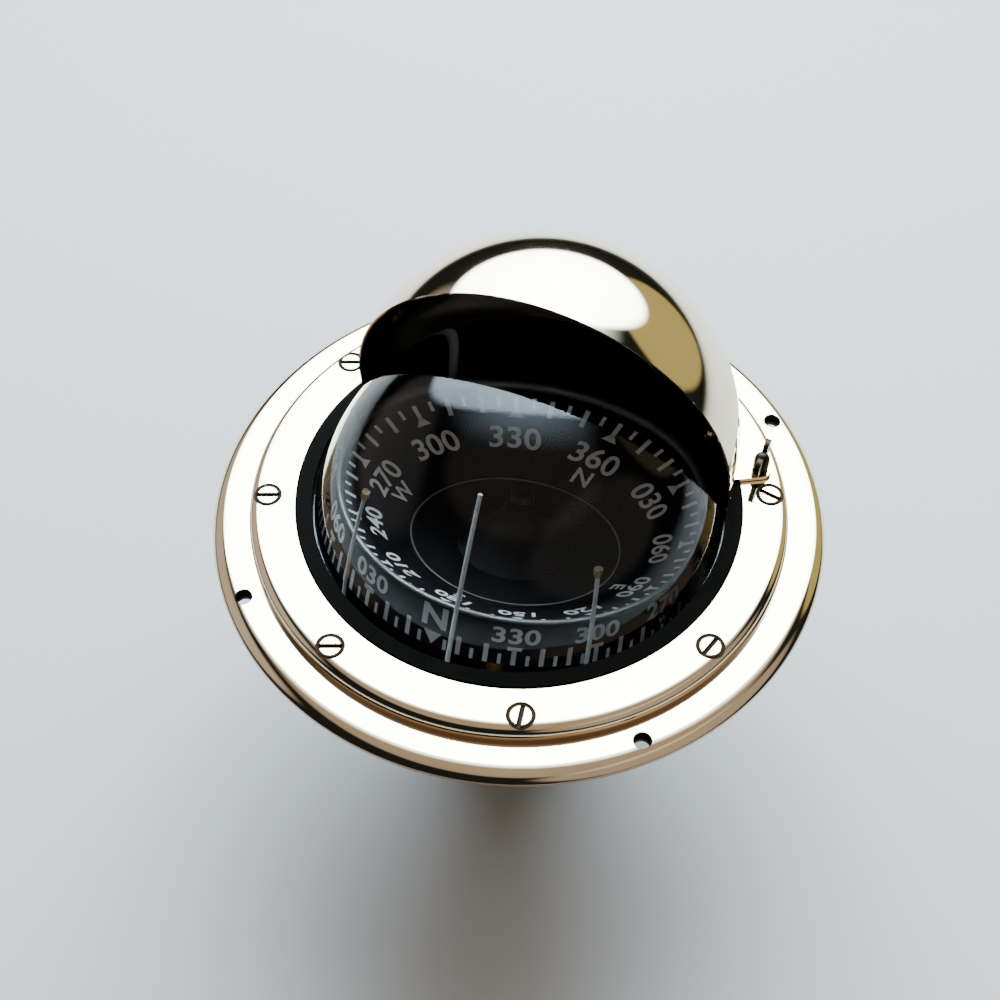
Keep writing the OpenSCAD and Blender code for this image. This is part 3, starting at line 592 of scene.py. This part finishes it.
cardPlace = (
    Matrix.Translation((0, 0, layout["domeZ"] * mm))
    @ Matrix.Rotation(math.radians(-layout["restPitch"]), 4, "X")
    @ Matrix.Rotation(math.radians(layout["heading"]), 4, "Z")
)

dishRun = layout["cardR"] - layout["cardT"] - layout["rimLand"] - layout["dishFlatR"]
dishRise = layout["rimZ"] - layout["flatZ"]
dishSlope = math.atan2(dishRise, dishRun)


def onDish(bearing, along, across, lift):
    # bearing in degrees, along the slope from its inner edge, across to the right, lift off the face
    radius = layout["dishFlatR"] + along * math.cos(dishSlope) - lift * math.sin(dishSlope)
    height = layout["flatZ"] + along * math.sin(dishSlope) + lift * math.cos(dishSlope)
    angle = math.radians(bearing) + across / radius
    return Vector((radius * math.sin(angle), radius * math.cos(angle), height)) * mm


def onSkirt(bearing, height, across, lift):
    radius = layout["cardR"] + lift
    angle = math.radians(bearing) - across / radius
    return Vector((radius * math.sin(angle), radius * math.cos(angle), height)) * mm


figures = {
    "dishSize": 7.6,
    "dishAlong": 10.6,
    "dishWide": 1.12,
    "letterSize": 6.2,
    "letterWide": 1.1,
    "letterAlong": 4.6,
    "bold": 0.14,
    "skirtSize": 8.0,
    "skirtHeight": -6.5,
    "skirtWide": 1.3,
    "skirtBold": 0.2,
    "northGrow": 1.35,
    "northWide": 1.15,
    "northBold": 0.28,
    "smallSize": 3.2,  # the other letters, in the place of a long mark
    "smallHeight": -11.8,
    "smallWide": 1.2,
    "proud": 0.06,
    "sliceWidth": 1.2,
}


def flatText(words, size, wide, bold):
    # flat letters in millimetres, centred, cut in narrow strips so that they can bend
    curve = bpy.data.curves.new("figure", "FONT")
    curve.body = words
    curve.size = size
    curve.align_x = "CENTER"
    curve.align_y = "CENTER"
    curve.offset = bold * size / 8.0
    curve.space_character = 1.02
    curve.extrude = figures["proud"] / 2
    curve.resolution_u = 6
    holder = bpy.data.objects.new("figure", curve)
    scene.collection.objects.link(holder)
    mesh = plainMesh(holder)
    work = bmesh.new()
    work.from_mesh(mesh)
    bmesh.ops.remove_doubles(work, verts=work.verts, dist=1e-5)
    xs = [v.co.x for v in work.verts]
    middleY = (max(v.co.y for v in work.verts) + min(v.co.y for v in work.verts)) / 2
    middleX = (max(xs) + min(xs)) / 2
    cut = min(xs) + figures["sliceWidth"]
    while cut < max(xs):
        everything = work.verts[:] + work.edges[:] + work.faces[:]
        bmesh.ops.bisect_plane(work, geom=everything, plane_co=(cut, 0, 0), plane_no=(1, 0, 0))
        cut += figures["sliceWidth"]
    bmesh.ops.triangulate(work, faces=work.faces[:])
    for v in work.verts:
        v.co = Vector(((v.co.x - middleX) * wide, v.co.y - middleY, v.co.z))
    bpy.data.objects.remove(holder)
    bpy.data.meshes.remove(mesh)
    return work


def addFigures(name, entries, place, ink):
    # entries are (words, bearing, size, wide, offset, bold), place maps a flat point to the card
    mesh = bpy.data.meshes.new(name)
    joined = bmesh.new()
    for words, bearing, size, wide, offset, bold in entries:
        work = flatText(words, size, wide, bold)
        for v in work.verts:
            v.co = place(bearing, offset + v.co.y, v.co.x, figures["proud"] / 2 + v.co.z)
        part = bpy.data.meshes.new("part")
        work.to_mesh(part)
        work.free()
        joined.from_mesh(part)
        bpy.data.meshes.remove(part)
    bmesh.ops.recalc_face_normals(joined, faces=joined.faces)
    joined.to_mesh(mesh)
    joined.free()
    mesh.transform(cardPlace)
    return meshPiece(name, mesh, ink, "card")


def makeFigures():
    # the skirt is read at the near edge, so its figures stand half a turn from those of the dish
    f = figures
    dish, skirt = [], []
    letters = {0: "N", 90: "E", 180: "S", 270: "W"}
    for bearing in range(0, 360, 30):
        words = f"{bearing or 360:03d}"
        dish.append((words, bearing, f["dishSize"], f["dishWide"], f["dishAlong"], f["bold"]))
        if bearing:
            skirt.append((words, bearing + 180, f["skirtSize"], f["skirtWide"], f["skirtHeight"],
                          f["skirtBold"]))
    for bearing, letter in letters.items():
        dish.append((letter, bearing, f["letterSize"], f["letterWide"], f["letterAlong"], f["bold"]))
        if bearing:
            skirt.append((letter, bearing + 180, f["smallSize"], f["smallWide"], f["smallHeight"],
                          f["skirtBold"]))
    northSize = f["skirtSize"] * f["northGrow"]
    skirt.append(("N", 180, northSize, f["northWide"], f["skirtHeight"], f["northBold"]))
    addFigures("dish_figures", dish, onDish, litDishInk)
    addFigures("skirt_figures", skirt, onSkirt, skirtInk)


makeFigures()
print("figures made")


# graduation marks


def newTree(name, sockets):
    tree = bpy.data.node_groups.new(name, "GeometryNodeTree")
    tree.interface.new_socket(name="Geometry", in_out="INPUT", socket_type="NodeSocketGeometry")
    for label, kind, value in sockets:
        socket = tree.interface.new_socket(name=label, in_out="INPUT", socket_type=kind)
        if value is not None:
            socket.default_value = value
    tree.interface.new_socket(name="Geometry", in_out="OUTPUT", socket_type="NodeSocketGeometry")
    return tree, tree.nodes.new("NodeGroupInput"), tree.nodes.new("NodeGroupOutput")


def buildTickTree():
    # marks of one length set round the card at even steps
    tree, given, result = newTree("tickRing", [
        ("Count", "NodeSocketInt", 36), ("Step", "NodeSocketFloat", 0.1745),
        ("First", "NodeSocketFloat", 0.0),
        ("Radius", "NodeSocketFloat", 0.04), ("Height", "NodeSocketFloat", 0.0),
        ("Slope", "NodeSocketFloat", 0.0), ("Length", "NodeSocketFloat", 0.004),
        ("Width", "NodeSocketFloat", 0.001), ("Thickness", "NodeSocketFloat", 0.0001),
        ("Corners", "NodeSocketInt", 4), ("Spin", "NodeSocketFloat", 0.0),
        ("Material", "NodeSocketMaterial", None),
    ])
    index = tree.nodes.new("GeometryNodeInputIndex").outputs[0]
    bearing = mathNode(tree, "MULTIPLY_ADD", index, given.outputs["Step"], given.outputs["First"])
    spot = tree.nodes.new("ShaderNodeCombineXYZ")
    east = mathNode(tree, "MULTIPLY", mathNode(tree, "SINE", bearing), given.outputs["Radius"])
    north = mathNode(tree, "MULTIPLY", mathNode(tree, "COSINE", bearing), given.outputs["Radius"])
    tree.links.new(east, spot.inputs["X"])
    tree.links.new(north, spot.inputs["Y"])
    tree.links.new(given.outputs["Height"], spot.inputs["Z"])
    points = tree.nodes.new("GeometryNodePoints")
    tree.links.new(given.outputs["Count"], points.inputs["Count"])
    tree.links.new(spot.outputs["Vector"], points.inputs["Position"])
    turn = tree.nodes.new("ShaderNodeCombineXYZ")
    tree.links.new(given.outputs["Slope"], turn.inputs["X"])
    tree.links.new(mathNode(tree, "MULTIPLY", bearing, -1.0), turn.inputs["Z"])
    toRotation = tree.nodes.new("FunctionNodeEulerToRotation")
    tree.links.new(turn.outputs["Vector"], toRotation.inputs["Euler"])
    # a prism with the asked number of corners: 4 makes a bar, 3 an arrow head
    prism = tree.nodes.new("GeometryNodeMeshCylinder")
    tree.links.new(given.outputs["Corners"], prism.inputs["Vertices"])
    prism.inputs["Radius"].default_value = math.sqrt(0.5)
    prism.inputs["Depth"].default_value = 1.0
    stand = tree.nodes.new("GeometryNodeTransform")
    lay = tree.nodes.new("ShaderNodeCombineXYZ")
    tree.links.new(given.outputs["Spin"], lay.inputs["Z"])
    tree.links.new(lay.outputs["Vector"], stand.inputs["Rotation"])
    size = tree.nodes.new("ShaderNodeCombineXYZ")
    tree.links.new(given.outputs["Width"], size.inputs["X"])
    tree.links.new(given.outputs["Length"], size.inputs["Y"])
    tree.links.new(given.outputs["Thickness"], size.inputs["Z"])
    stretch = tree.nodes.new("GeometryNodeTransform")
    tree.links.new(prism.outputs["Mesh"], stand.inputs["Geometry"])
    tree.links.new(stand.outputs["Geometry"], stretch.inputs["Geometry"])
    tree.links.new(size.outputs["Vector"], stretch.inputs["Scale"])
    instance = tree.nodes.new("GeometryNodeInstanceOnPoints")
    tree.links.new(points.outputs[0], instance.inputs["Points"])
    tree.links.new(stretch.outputs["Geometry"], instance.inputs["Instance"])
    tree.links.new(toRotation.outputs["Rotation"], instance.inputs["Rotation"])
    real = tree.nodes.new("GeometryNodeRealizeInstances")
    paint = tree.nodes.new("GeometryNodeSetMaterial")
    tree.links.new(instance.outputs["Instances"], real.inputs["Geometry"])
    tree.links.new(real.outputs["Geometry"], paint.inputs["Geometry"])
    tree.links.new(given.outputs["Material"], paint.inputs["Material"])
    tree.links.new(paint.outputs["Geometry"], result.inputs["Geometry"])
    return tree


tickRing = buildTickTree()


def runTree(tree, values):
    # evaluates a tree on an empty mesh and returns what it makes
    holder = heldMesh(bpy.data.meshes.new("holder"))
    modifier = holder.modifiers.new("tree", "NODES")
    modifier.node_group = tree
    sockets = {s.name: s.identifier for s in tree.interface.items_tree if s.in_out == "INPUT"}
    for name, value in values.items():
        modifier[sockets[name]] = value
    mesh = plainMesh(holder)
    bpy.data.objects.remove(holder)
    return mesh


ticks = {
    "longLength": 4.0,
    "shortLength": 2.2,
    "longWidth": 1.15,
    "shortWidth": 0.9,
    "dishEnd": 20.6,  # outer ends of the marks, along the slope
    "skirtLow": -17.8,
    "skirtLong": 7.0,
    "skirtShort": 4.0,
    "skirtLongWidth": 1.6,
    "skirtShortWidth": 1.2,
    "barWidth": 4.6,
    "barThick": 1.4,
    "northLow": -16.2,
    "northLength": 4.4,
    "northWidth": 5.0,
    "arrowWidth": 3.2,
    "arrowLength": 2.2,
    "arrowOverlap": 1.0,
    "proud": 0.06,
}


def tickMesh(surface, count, step, first, start, length, width, corners=4):
    # start is the outer end on the dish, or the low end on the skirt
    # arrow heads point outwards on the dish and down on the skirt
    spin = {3: math.pi / 2 if surface == "dish" else -math.pi / 2, 4: math.pi / 4}
    values = {"Count": count, "Step": math.radians(step), "First": math.radians(first),
              "Length": length * mm, "Width": width * mm, "Thickness": ticks["proud"] * mm,
              "Corners": corners, "Spin": spin[corners],
              "Material": litDishInk if surface == "dish" else skirtInk}
    if surface == "dish":
        middle = start - length / 2
        lift = ticks["proud"] / 2
        spot = onDish(0, middle, 0, lift)
        values["Radius"] = spot.y
        values["Height"] = spot.z
        values["Slope"] = dishSlope
    else:
        values["Radius"] = (layout["cardR"] + ticks["proud"] / 2) * mm
        values["Height"] = (start + length / 2) * mm
        values["Slope"] = math.pi / 2
    return runTree(tickRing, values)


def makeTicks():
    t = ticks
    arrowEnd = t["dishEnd"] - t["longLength"] + t["arrowOverlap"]
    dish = joinMeshes("dish_marks", [
        tickMesh("dish", 36, 10, 0, t["dishEnd"], t["longLength"], t["longWidth"]),
        tickMesh("dish", 36, 10, 5, t["dishEnd"], t["shortLength"], t["shortWidth"]),
        tickMesh("dish", 12, 30, 0, arrowEnd, t["arrowLength"], t["arrowWidth"], 3),
    ])
    low, long = t["skirtLow"], t["skirtLong"]
    barLow = low + long - t["barThick"]
    parts = [
        tickMesh("skirt", 36, 10, 5, low, t["skirtShort"], t["skirtShortWidth"]),
        tickMesh("skirt", 3, 90, -90, low, t["skirtShort"], t["skirtLongWidth"]),
        tickMesh("skirt", 1, 0, 180, t["northLow"], t["northLength"], t["northWidth"], 3),
    ]
    for quarter in range(0, 360, 90):
        parts.append(tickMesh("skirt", 8, 10, quarter + 10, low, long, t["skirtLongWidth"]))
        parts.append(tickMesh("skirt", 2, 30, quarter + 30, barLow, t["barThick"], t["barWidth"]))
    skirt = joinMeshes("skirt_marks", parts)
    for name, mesh, ink in (("dish_marks", dish, litDishInk), ("skirt_marks", skirt, skirtInk)):
        mesh.transform(cardPlace)
        meshPiece(name, mesh, ink, "card")


makeTicks()

innerRing = {"radius": 27.9, "width": 0.45, "proud": 0.06, "steps": 160}


def makeInnerRing():
    r, w = innerRing["radius"], innerRing["width"] / 2
    low = layout["flatZ"]
    high = low + innerRing["proud"]
    section = [(r - w, low), (r + w, low), (r + w, high), (r - w, high)]
    mesh = turnedMesh("inner_circle", section, innerRing["steps"])
    mesh.transform(cardPlace)
    meshPiece("inner_circle", mesh, faintInk, "card")


makeInnerRing()
print("graduations made")


# polished rings and hood, with true curved faces

ringLook = {"steps": 288, "roundSteps": 16, "strip": 0.4, "smooth": 28}


def cutHoles(mesh, cutter):
    holder, tool = heldMesh(mesh), heldMesh(cutter)
    modifier = holder.modifiers.new("cut", "BOOLEAN")
    modifier.operation = "DIFFERENCE"
    modifier.solver = "EXACT"
    modifier.object = tool
    result = plainMesh(holder)
    for used in (tool, holder):
        bpy.data.objects.remove(used)
    return result


def ringOfPlugs(count, pcr, first, profile, steps=48):
    # one mesh of turned plugs standing on a circle
    plugs = []
    for i in range(count):
        angle = math.radians(first + i * 360 / count)
        place = (pcr * math.cos(angle), pcr * math.sin(angle))
        plug = turnedMesh("plug", profile, steps, place, closed=False)
        plugs.append(plug)
    return joinMeshes("plugs", plugs)


flangeShape = {
    "outR": 117.5,
    "round": 7.0,
    "roll": 5.8,  # the round's centre stands this far in from the edge
    "underside": 1.5,
    "collarInR": 88.5,
    "collarOutR": 104.0,
    "collarFoot": -8.0,
    "recessR": 101.1,
    "recessFloor": 3.0,
    "holeR": 3.0,
    "holeBreakR": 3.5,
    "holeBreakFrom": 5.55,
    "holeBreakTo": 6.05,
}


def makeFlange():
    g, f = ringLook, flangeShape
    top, edge = layout["flangeTop"], f["outR"]
    shoulder = math.degrees(math.acos(f["roll"] / f["round"]))
    profile = [(f["collarInR"], f["recessFloor"]), (f["collarInR"], f["collarFoot"]),
               (f["collarOutR"], f["collarFoot"]), (f["collarOutR"], f["underside"]),
               (edge - g["strip"], f["underside"]), (edge, f["underside"])]
    profile += arc((edge - f["roll"], top - f["round"]), f["round"], shoulder, 90, g["roundSteps"])
    profile += [(edge - f["roll"] - g["strip"], top), (f["recessR"], top), (f["recessR"], f["recessFloor"])]
    mesh = turnedMesh("flange_brass", profile, g["steps"])
    plug = [(0, 0.0), (f["holeR"], 0.0), (f["holeR"], f["holeBreakFrom"]),
            (f["holeBreakR"], f["holeBreakTo"]), (f["holeBreakR"], top + 1.0), (0, top + 1.0)]
    holes = ringOfPlugs(holeLook["count"], holeLook["pcr"], holeLook["first"], plug)
    mesh = cutHoles(mesh, holes)
    smoothShade(mesh, g["smooth"])
    return meshPiece("flange_brass", mesh, drilledBrass, "case", ["deck_flange"])


bezelShape = {
    "outR": 103.0,
    "round": 4.2,
    "boreR": 85.0,
    "boreRound": 0.5,
    "lipUnder": 11.3,
    "ringSeatR": 88.2,  # the lip of the hood's turning ring runs in here
    "ringSeatFloor": 9.8,
    "domeSeatR": 91.3,
    "screwBoreR": 2.7,
    "recessFoot": 2.4,  # depths of the screw's recess below the top face
    "recessLand": 0.6,
    "recessR": 4.5,
    "breakFrom": 4.7,
    "breakTo": 5.3,
}


def makeBezel():
    g, b, s = ringLook, bezelShape, screwLook
    top, foot, edge = layout["bezelTop"], layout["flangeTop"], b["outR"]
    profile = [(b["boreR"], b["lipUnder"]), (b["ringSeatR"], b["lipUnder"]),
               (b["ringSeatR"], b["ringSeatFloor"]), (b["domeSeatR"], b["ringSeatFloor"]),
               (b["domeSeatR"], foot), (edge - g["strip"], foot), (edge, foot)]
    profile += arc((edge - b["round"], top - b["round"]), b["round"], 0, 90, g["roundSteps"])
    inner = b["boreR"] + b["boreRound"]
    profile += [(edge - b["round"] - g["strip"], top), (inner + g["strip"], top)]
    profile += arc((inner, top - b["boreRound"]), b["boreRound"], 90, 180, 6)
    mesh = turnedMesh("bezel_brass", profile, g["steps"])
    land = top - b["recessLand"]
    plug = [(0, foot - 1.0), (b["screwBoreR"], foot - 1.0), (b["screwBoreR"], top - b["recessFoot"]),
            (b["recessR"], land), (b["breakFrom"], land), (b["breakTo"], top),
            (b["breakTo"] + 1.0, top + 1.0), (0, top + 1.0)]
    mesh = cutHoles(mesh, ringOfPlugs(s["count"], s["pcr"], s["first"], plug, 64))
    smoothShade(mesh, g["smooth"])
    return meshPiece("bezel_brass", mesh, screwedBrass, "case", ["bezel_ring"])


def slotCutter(place, angle):
    # a bar across a screw head whose sides flare at the top, made from its section
    look = screwLook
    half, top = look["slotWidth"] / 2, look["top"]
    floor, flare, over = top - look["slotDepth"], top - look["slotFlare"], 1.0
    wide = half + look["slotFlare"] + over
    section = [(-half, floor), (half, floor), (half, flare), (wide, top + over),
               (-wide, top + over), (-half, flare)]
    work = bmesh.new()
    ends = []
    for reach in (-1.3 * look["headR"], 1.3 * look["headR"]):
        ends.append([work.verts.new((reach * mm, across * mm, height * mm)) for across, height in section])
    work.faces.new(ends[0])
    work.faces.new(ends[1][::-1])
    for i in range(len(section)):
        j = (i + 1) % len(section)
        work.faces.new((ends[0][j], ends[0][i], ends[1][i], ends[1][j]))
    bmesh.ops.recalc_face_normals(work, faces=work.faces)
    mesh = bpy.data.meshes.new("slot")
    work.to_mesh(mesh)
    work.free()
    spot = Matrix.Translation((place[0] * mm, place[1] * mm, 0))
    mesh.transform(spot @ Matrix.Rotation(math.radians(angle), 4, "Z"))
    return mesh


def makeScrews():
    look = screwLook
    top = look["top"]
    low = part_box("bezel_screws")[0].z / mm
    cone = look["headR"] - look["shankR"]
    profile = [(0, low), (look["shankR"], low), (look["shankR"], top - look["headLand"] - cone),
               (look["headR"], top - look["headLand"]), (look["headR"], top - look["headBreak"]),
               (look["headR"] - look["headBreak"], top), (0, top)]
    heads = ringOfPlugs(look["count"], look["pcr"], look["first"], profile, 96)
    slots = []
    for i, angle in enumerate(look["slotAngles"]):
        bearing = math.radians(look["first"] + i * 360 / look["count"])
        slots.append(slotCutter((look["pcr"] * math.cos(bearing), look["pcr"] * math.sin(bearing)), angle))
    mesh = cutHoles(heads, joinMeshes("slots", slots))
    smoothShade(mesh, ringLook["smooth"])
    return meshPiece("screw_heads", mesh, screwedBrass, "case", ["bezel_screws"])


makeFlange()
makeBezel()
makeScrews()
print("rings made")

hoodShape = {
    "steps": 256,
    "arcSteps": 64,
    "skirtStep": 6.5,  # rings of the straight foot under the sphere
    "footZ": 14.8,
    "mouthFwd": 22.0,
    "mouthLean": 5.4,
    "smooth": 40,
}


def makeHood():
    h = hoodShape
    centre = (0.0, layout["hoodZ"])
    points = arc(centre, layout["hoodR"], 90, 0, h["arcSteps"])
    points[0] = (0.0, points[0][1])
    points += [(layout["hoodR"], layout["hoodZ"] - h["skirtStep"] * i) for i in (1, 2)]
    points += [(layout["hoodR"], h["footZ"])]
    mesh = turnedMesh("hood_shell", points, h["steps"], (0.0, layout["hoodFwd"]), closed=False)
    work = bmesh.new()
    work.from_mesh(mesh)
    lean = math.radians(h["mouthLean"])
    normal = Vector((0, math.cos(lean), math.sin(lean)))
    bmesh.ops.bisect_plane(work, geom=work.verts[:] + work.edges[:] + work.faces[:],
                           plane_co=(0, h["mouthFwd"] * mm, layout["bezelTop"] * mm), plane_no=normal,
                           clear_inner=True)
    bmesh.ops.recalc_face_normals(work, faces=work.faces)
    heart = Vector((0, layout["hoodFwd"], layout["hoodZ"])) * mm
    outward = [f for f in work.faces if f.normal.dot(f.calc_center_median() - heart) > 0]
    if len(outward) < len(work.faces) / 2:
        bmesh.ops.reverse_faces(work, faces=work.faces)
    work.to_mesh(mesh)
    work.free()
    holder = heldMesh(mesh)
    wall = holder.modifiers.new("wall", "SOLIDIFY")
    wall.thickness = layout["hoodT"] * mm
    wall.offset = -1.0
    wall.use_even_offset = True
    thick = plainMesh(holder)
    bpy.data.objects.remove(holder)
    smoothShade(thick, h["smooth"])
    return meshPiece("hood_shell", thick, hoodFinish, "sun_hood", ["hood"])


makeHood()
print("hood made")


# stage, light and camera

stageLook = {"floor": (0.47, 0.46, 0.45), "mottle": 0.97, "floorZ": -121.2, "world": 0.015}


def makeFloor():
    mesh = bpy.data.meshes.new("floor")
    work = bmesh.new()
    bmesh.ops.create_grid(work, x_segments=1, y_segments=1, size=4.0)
    work.to_mesh(mesh)
    work.free()
    floor = bpy.data.objects.new("floor", mesh)
    floor.location.z = stageLook["floorZ"] * mm
    scene.collection.objects.link(floor)
    material, tree, shader = newMaterial("floorPaper")
    paper = addNode(tree, "ShaderNodeTexNoise")
    paper.inputs["Scale"].default_value = 3.0
    tree.links.new(objectCoords(tree), paper.inputs["Vector"])
    darker = tuple(c * stageLook["mottle"] for c in stageLook["floor"])
    tone = mixColours(tree, paper.outputs["Fac"], stageLook["floor"], darker)
    tree.links.new(tone, shader.inputs["Base Color"])
    shader.inputs["Roughness"].default_value = 0.9
    mesh.materials.append(material)


lamps = [
    # name, place, size across and along, radiance, edge softness, spread in degrees, colour
    ("sky_box", (-0.31, 1.00, 0.88), 2.35, 1.6, 9.0, 0.16, 115, (0.75, 0.90, 1.0)),
    ("haze_box", (-0.15, 0.54, 1.27), 2.15, 1.3, 3.8, 1.0, 150, (0.70, 0.87, 1.0)),
    ("fill_box", (0.15, -0.20, 1.45), 3.0, 2.6, 0.35, 0.3, 160, (1.0, 0.84, 0.68)),
    ("left_box", (-1.22, -0.06, 0.50), 2.4, 1.3, 0.45, 0.4, 160, (1.0, 0.88, 0.80)),
    ("right_box", (1.05, -0.35, 0.62), 2.4, 1.35, 0.35, 0.3, 160, (1.0, 0.86, 0.74)),
    ("warm_box", (0.60, 1.00, 0.42), 1.25, 1.05, 0.42, 0.15, 160, (1.0, 0.87, 0.34)),
]


def softenEdge(light, softness):
    # fades an elliptical lamp from its middle to its rim
    light.use_nodes = True
    tree = light.node_tree
    emission = next(n for n in tree.nodes if n.type == "EMISSION")
    where = addNode(tree, "ShaderNodeNewGeometry")
    reach = addNode(tree, "ShaderNodeVectorMath", operation="DISTANCE")
    tree.links.new(where.outputs["Parametric"], reach.inputs[0])
    reach.inputs[1].default_value = (0.5, 0.5, 0.0)
    fade = addNode(tree, "ShaderNodeMapRange", interpolation_type="SMOOTHSTEP")
    fade.inputs["From Min"].default_value = 0.5
    fade.inputs["From Max"].default_value = 0.5 * (1.0 - softness)
    tree.links.new(reach.outputs["Value"], fade.inputs["Value"])
    tree.links.new(fade.outputs["Result"], emission.inputs["Strength"])


def makeLights():
    world = bpy.data.worlds.new("studio")
    scene.world = world
    world.use_nodes = True
    background = world.node_tree.nodes["Background"]
    background.inputs["Color"].default_value = (stageLook["world"],) * 3 + (1.0,)
    background.inputs["Strength"].default_value = 1.0
    for name, place, across, along, radiance, softness, spread, colour in lamps:
        light = bpy.data.lights.new(name, "AREA")
        light.shape = "ELLIPSE"
        light.size = across
        light.size_y = along
        light.energy = radiance * math.pi * across * along * math.pi / 4
        light.spread = math.radians(spread)
        light.color = colour
        softenEdge(light, softness)
        lamp = bpy.data.objects.new(name, light)
        lamp.location = place
        lamp.rotation_euler = (Vector((0, 0, 0.02)) - Vector(place)).to_track_quat("-Z", "Y").to_euler()
        scene.collection.objects.link(lamp)


cameraSet = {
    "place": (0.13495, -0.34464, 0.4997),
    "aim": (-0.23014, 0.55562, -0.7990),
    "lens": 57.63,
    "shift": 0.002,
}


def makeCamera():
    data = bpy.data.cameras.new("camera")
    data.lens = cameraSet["lens"]
    data.sensor_width = 36.0
    data.shift_y = cameraSet["shift"]
    data.clip_start = 0.01
    camera = bpy.data.objects.new("camera", data)
    camera.location = cameraSet["place"]
    camera.rotation_euler = Vector(cameraSet["aim"]).to_track_quat("-Z", "Y").to_euler()
    scene.collection.objects.link(camera)
    scene.camera = camera


makeFloor()
makeLights()
makeCamera()
print("stage ready")
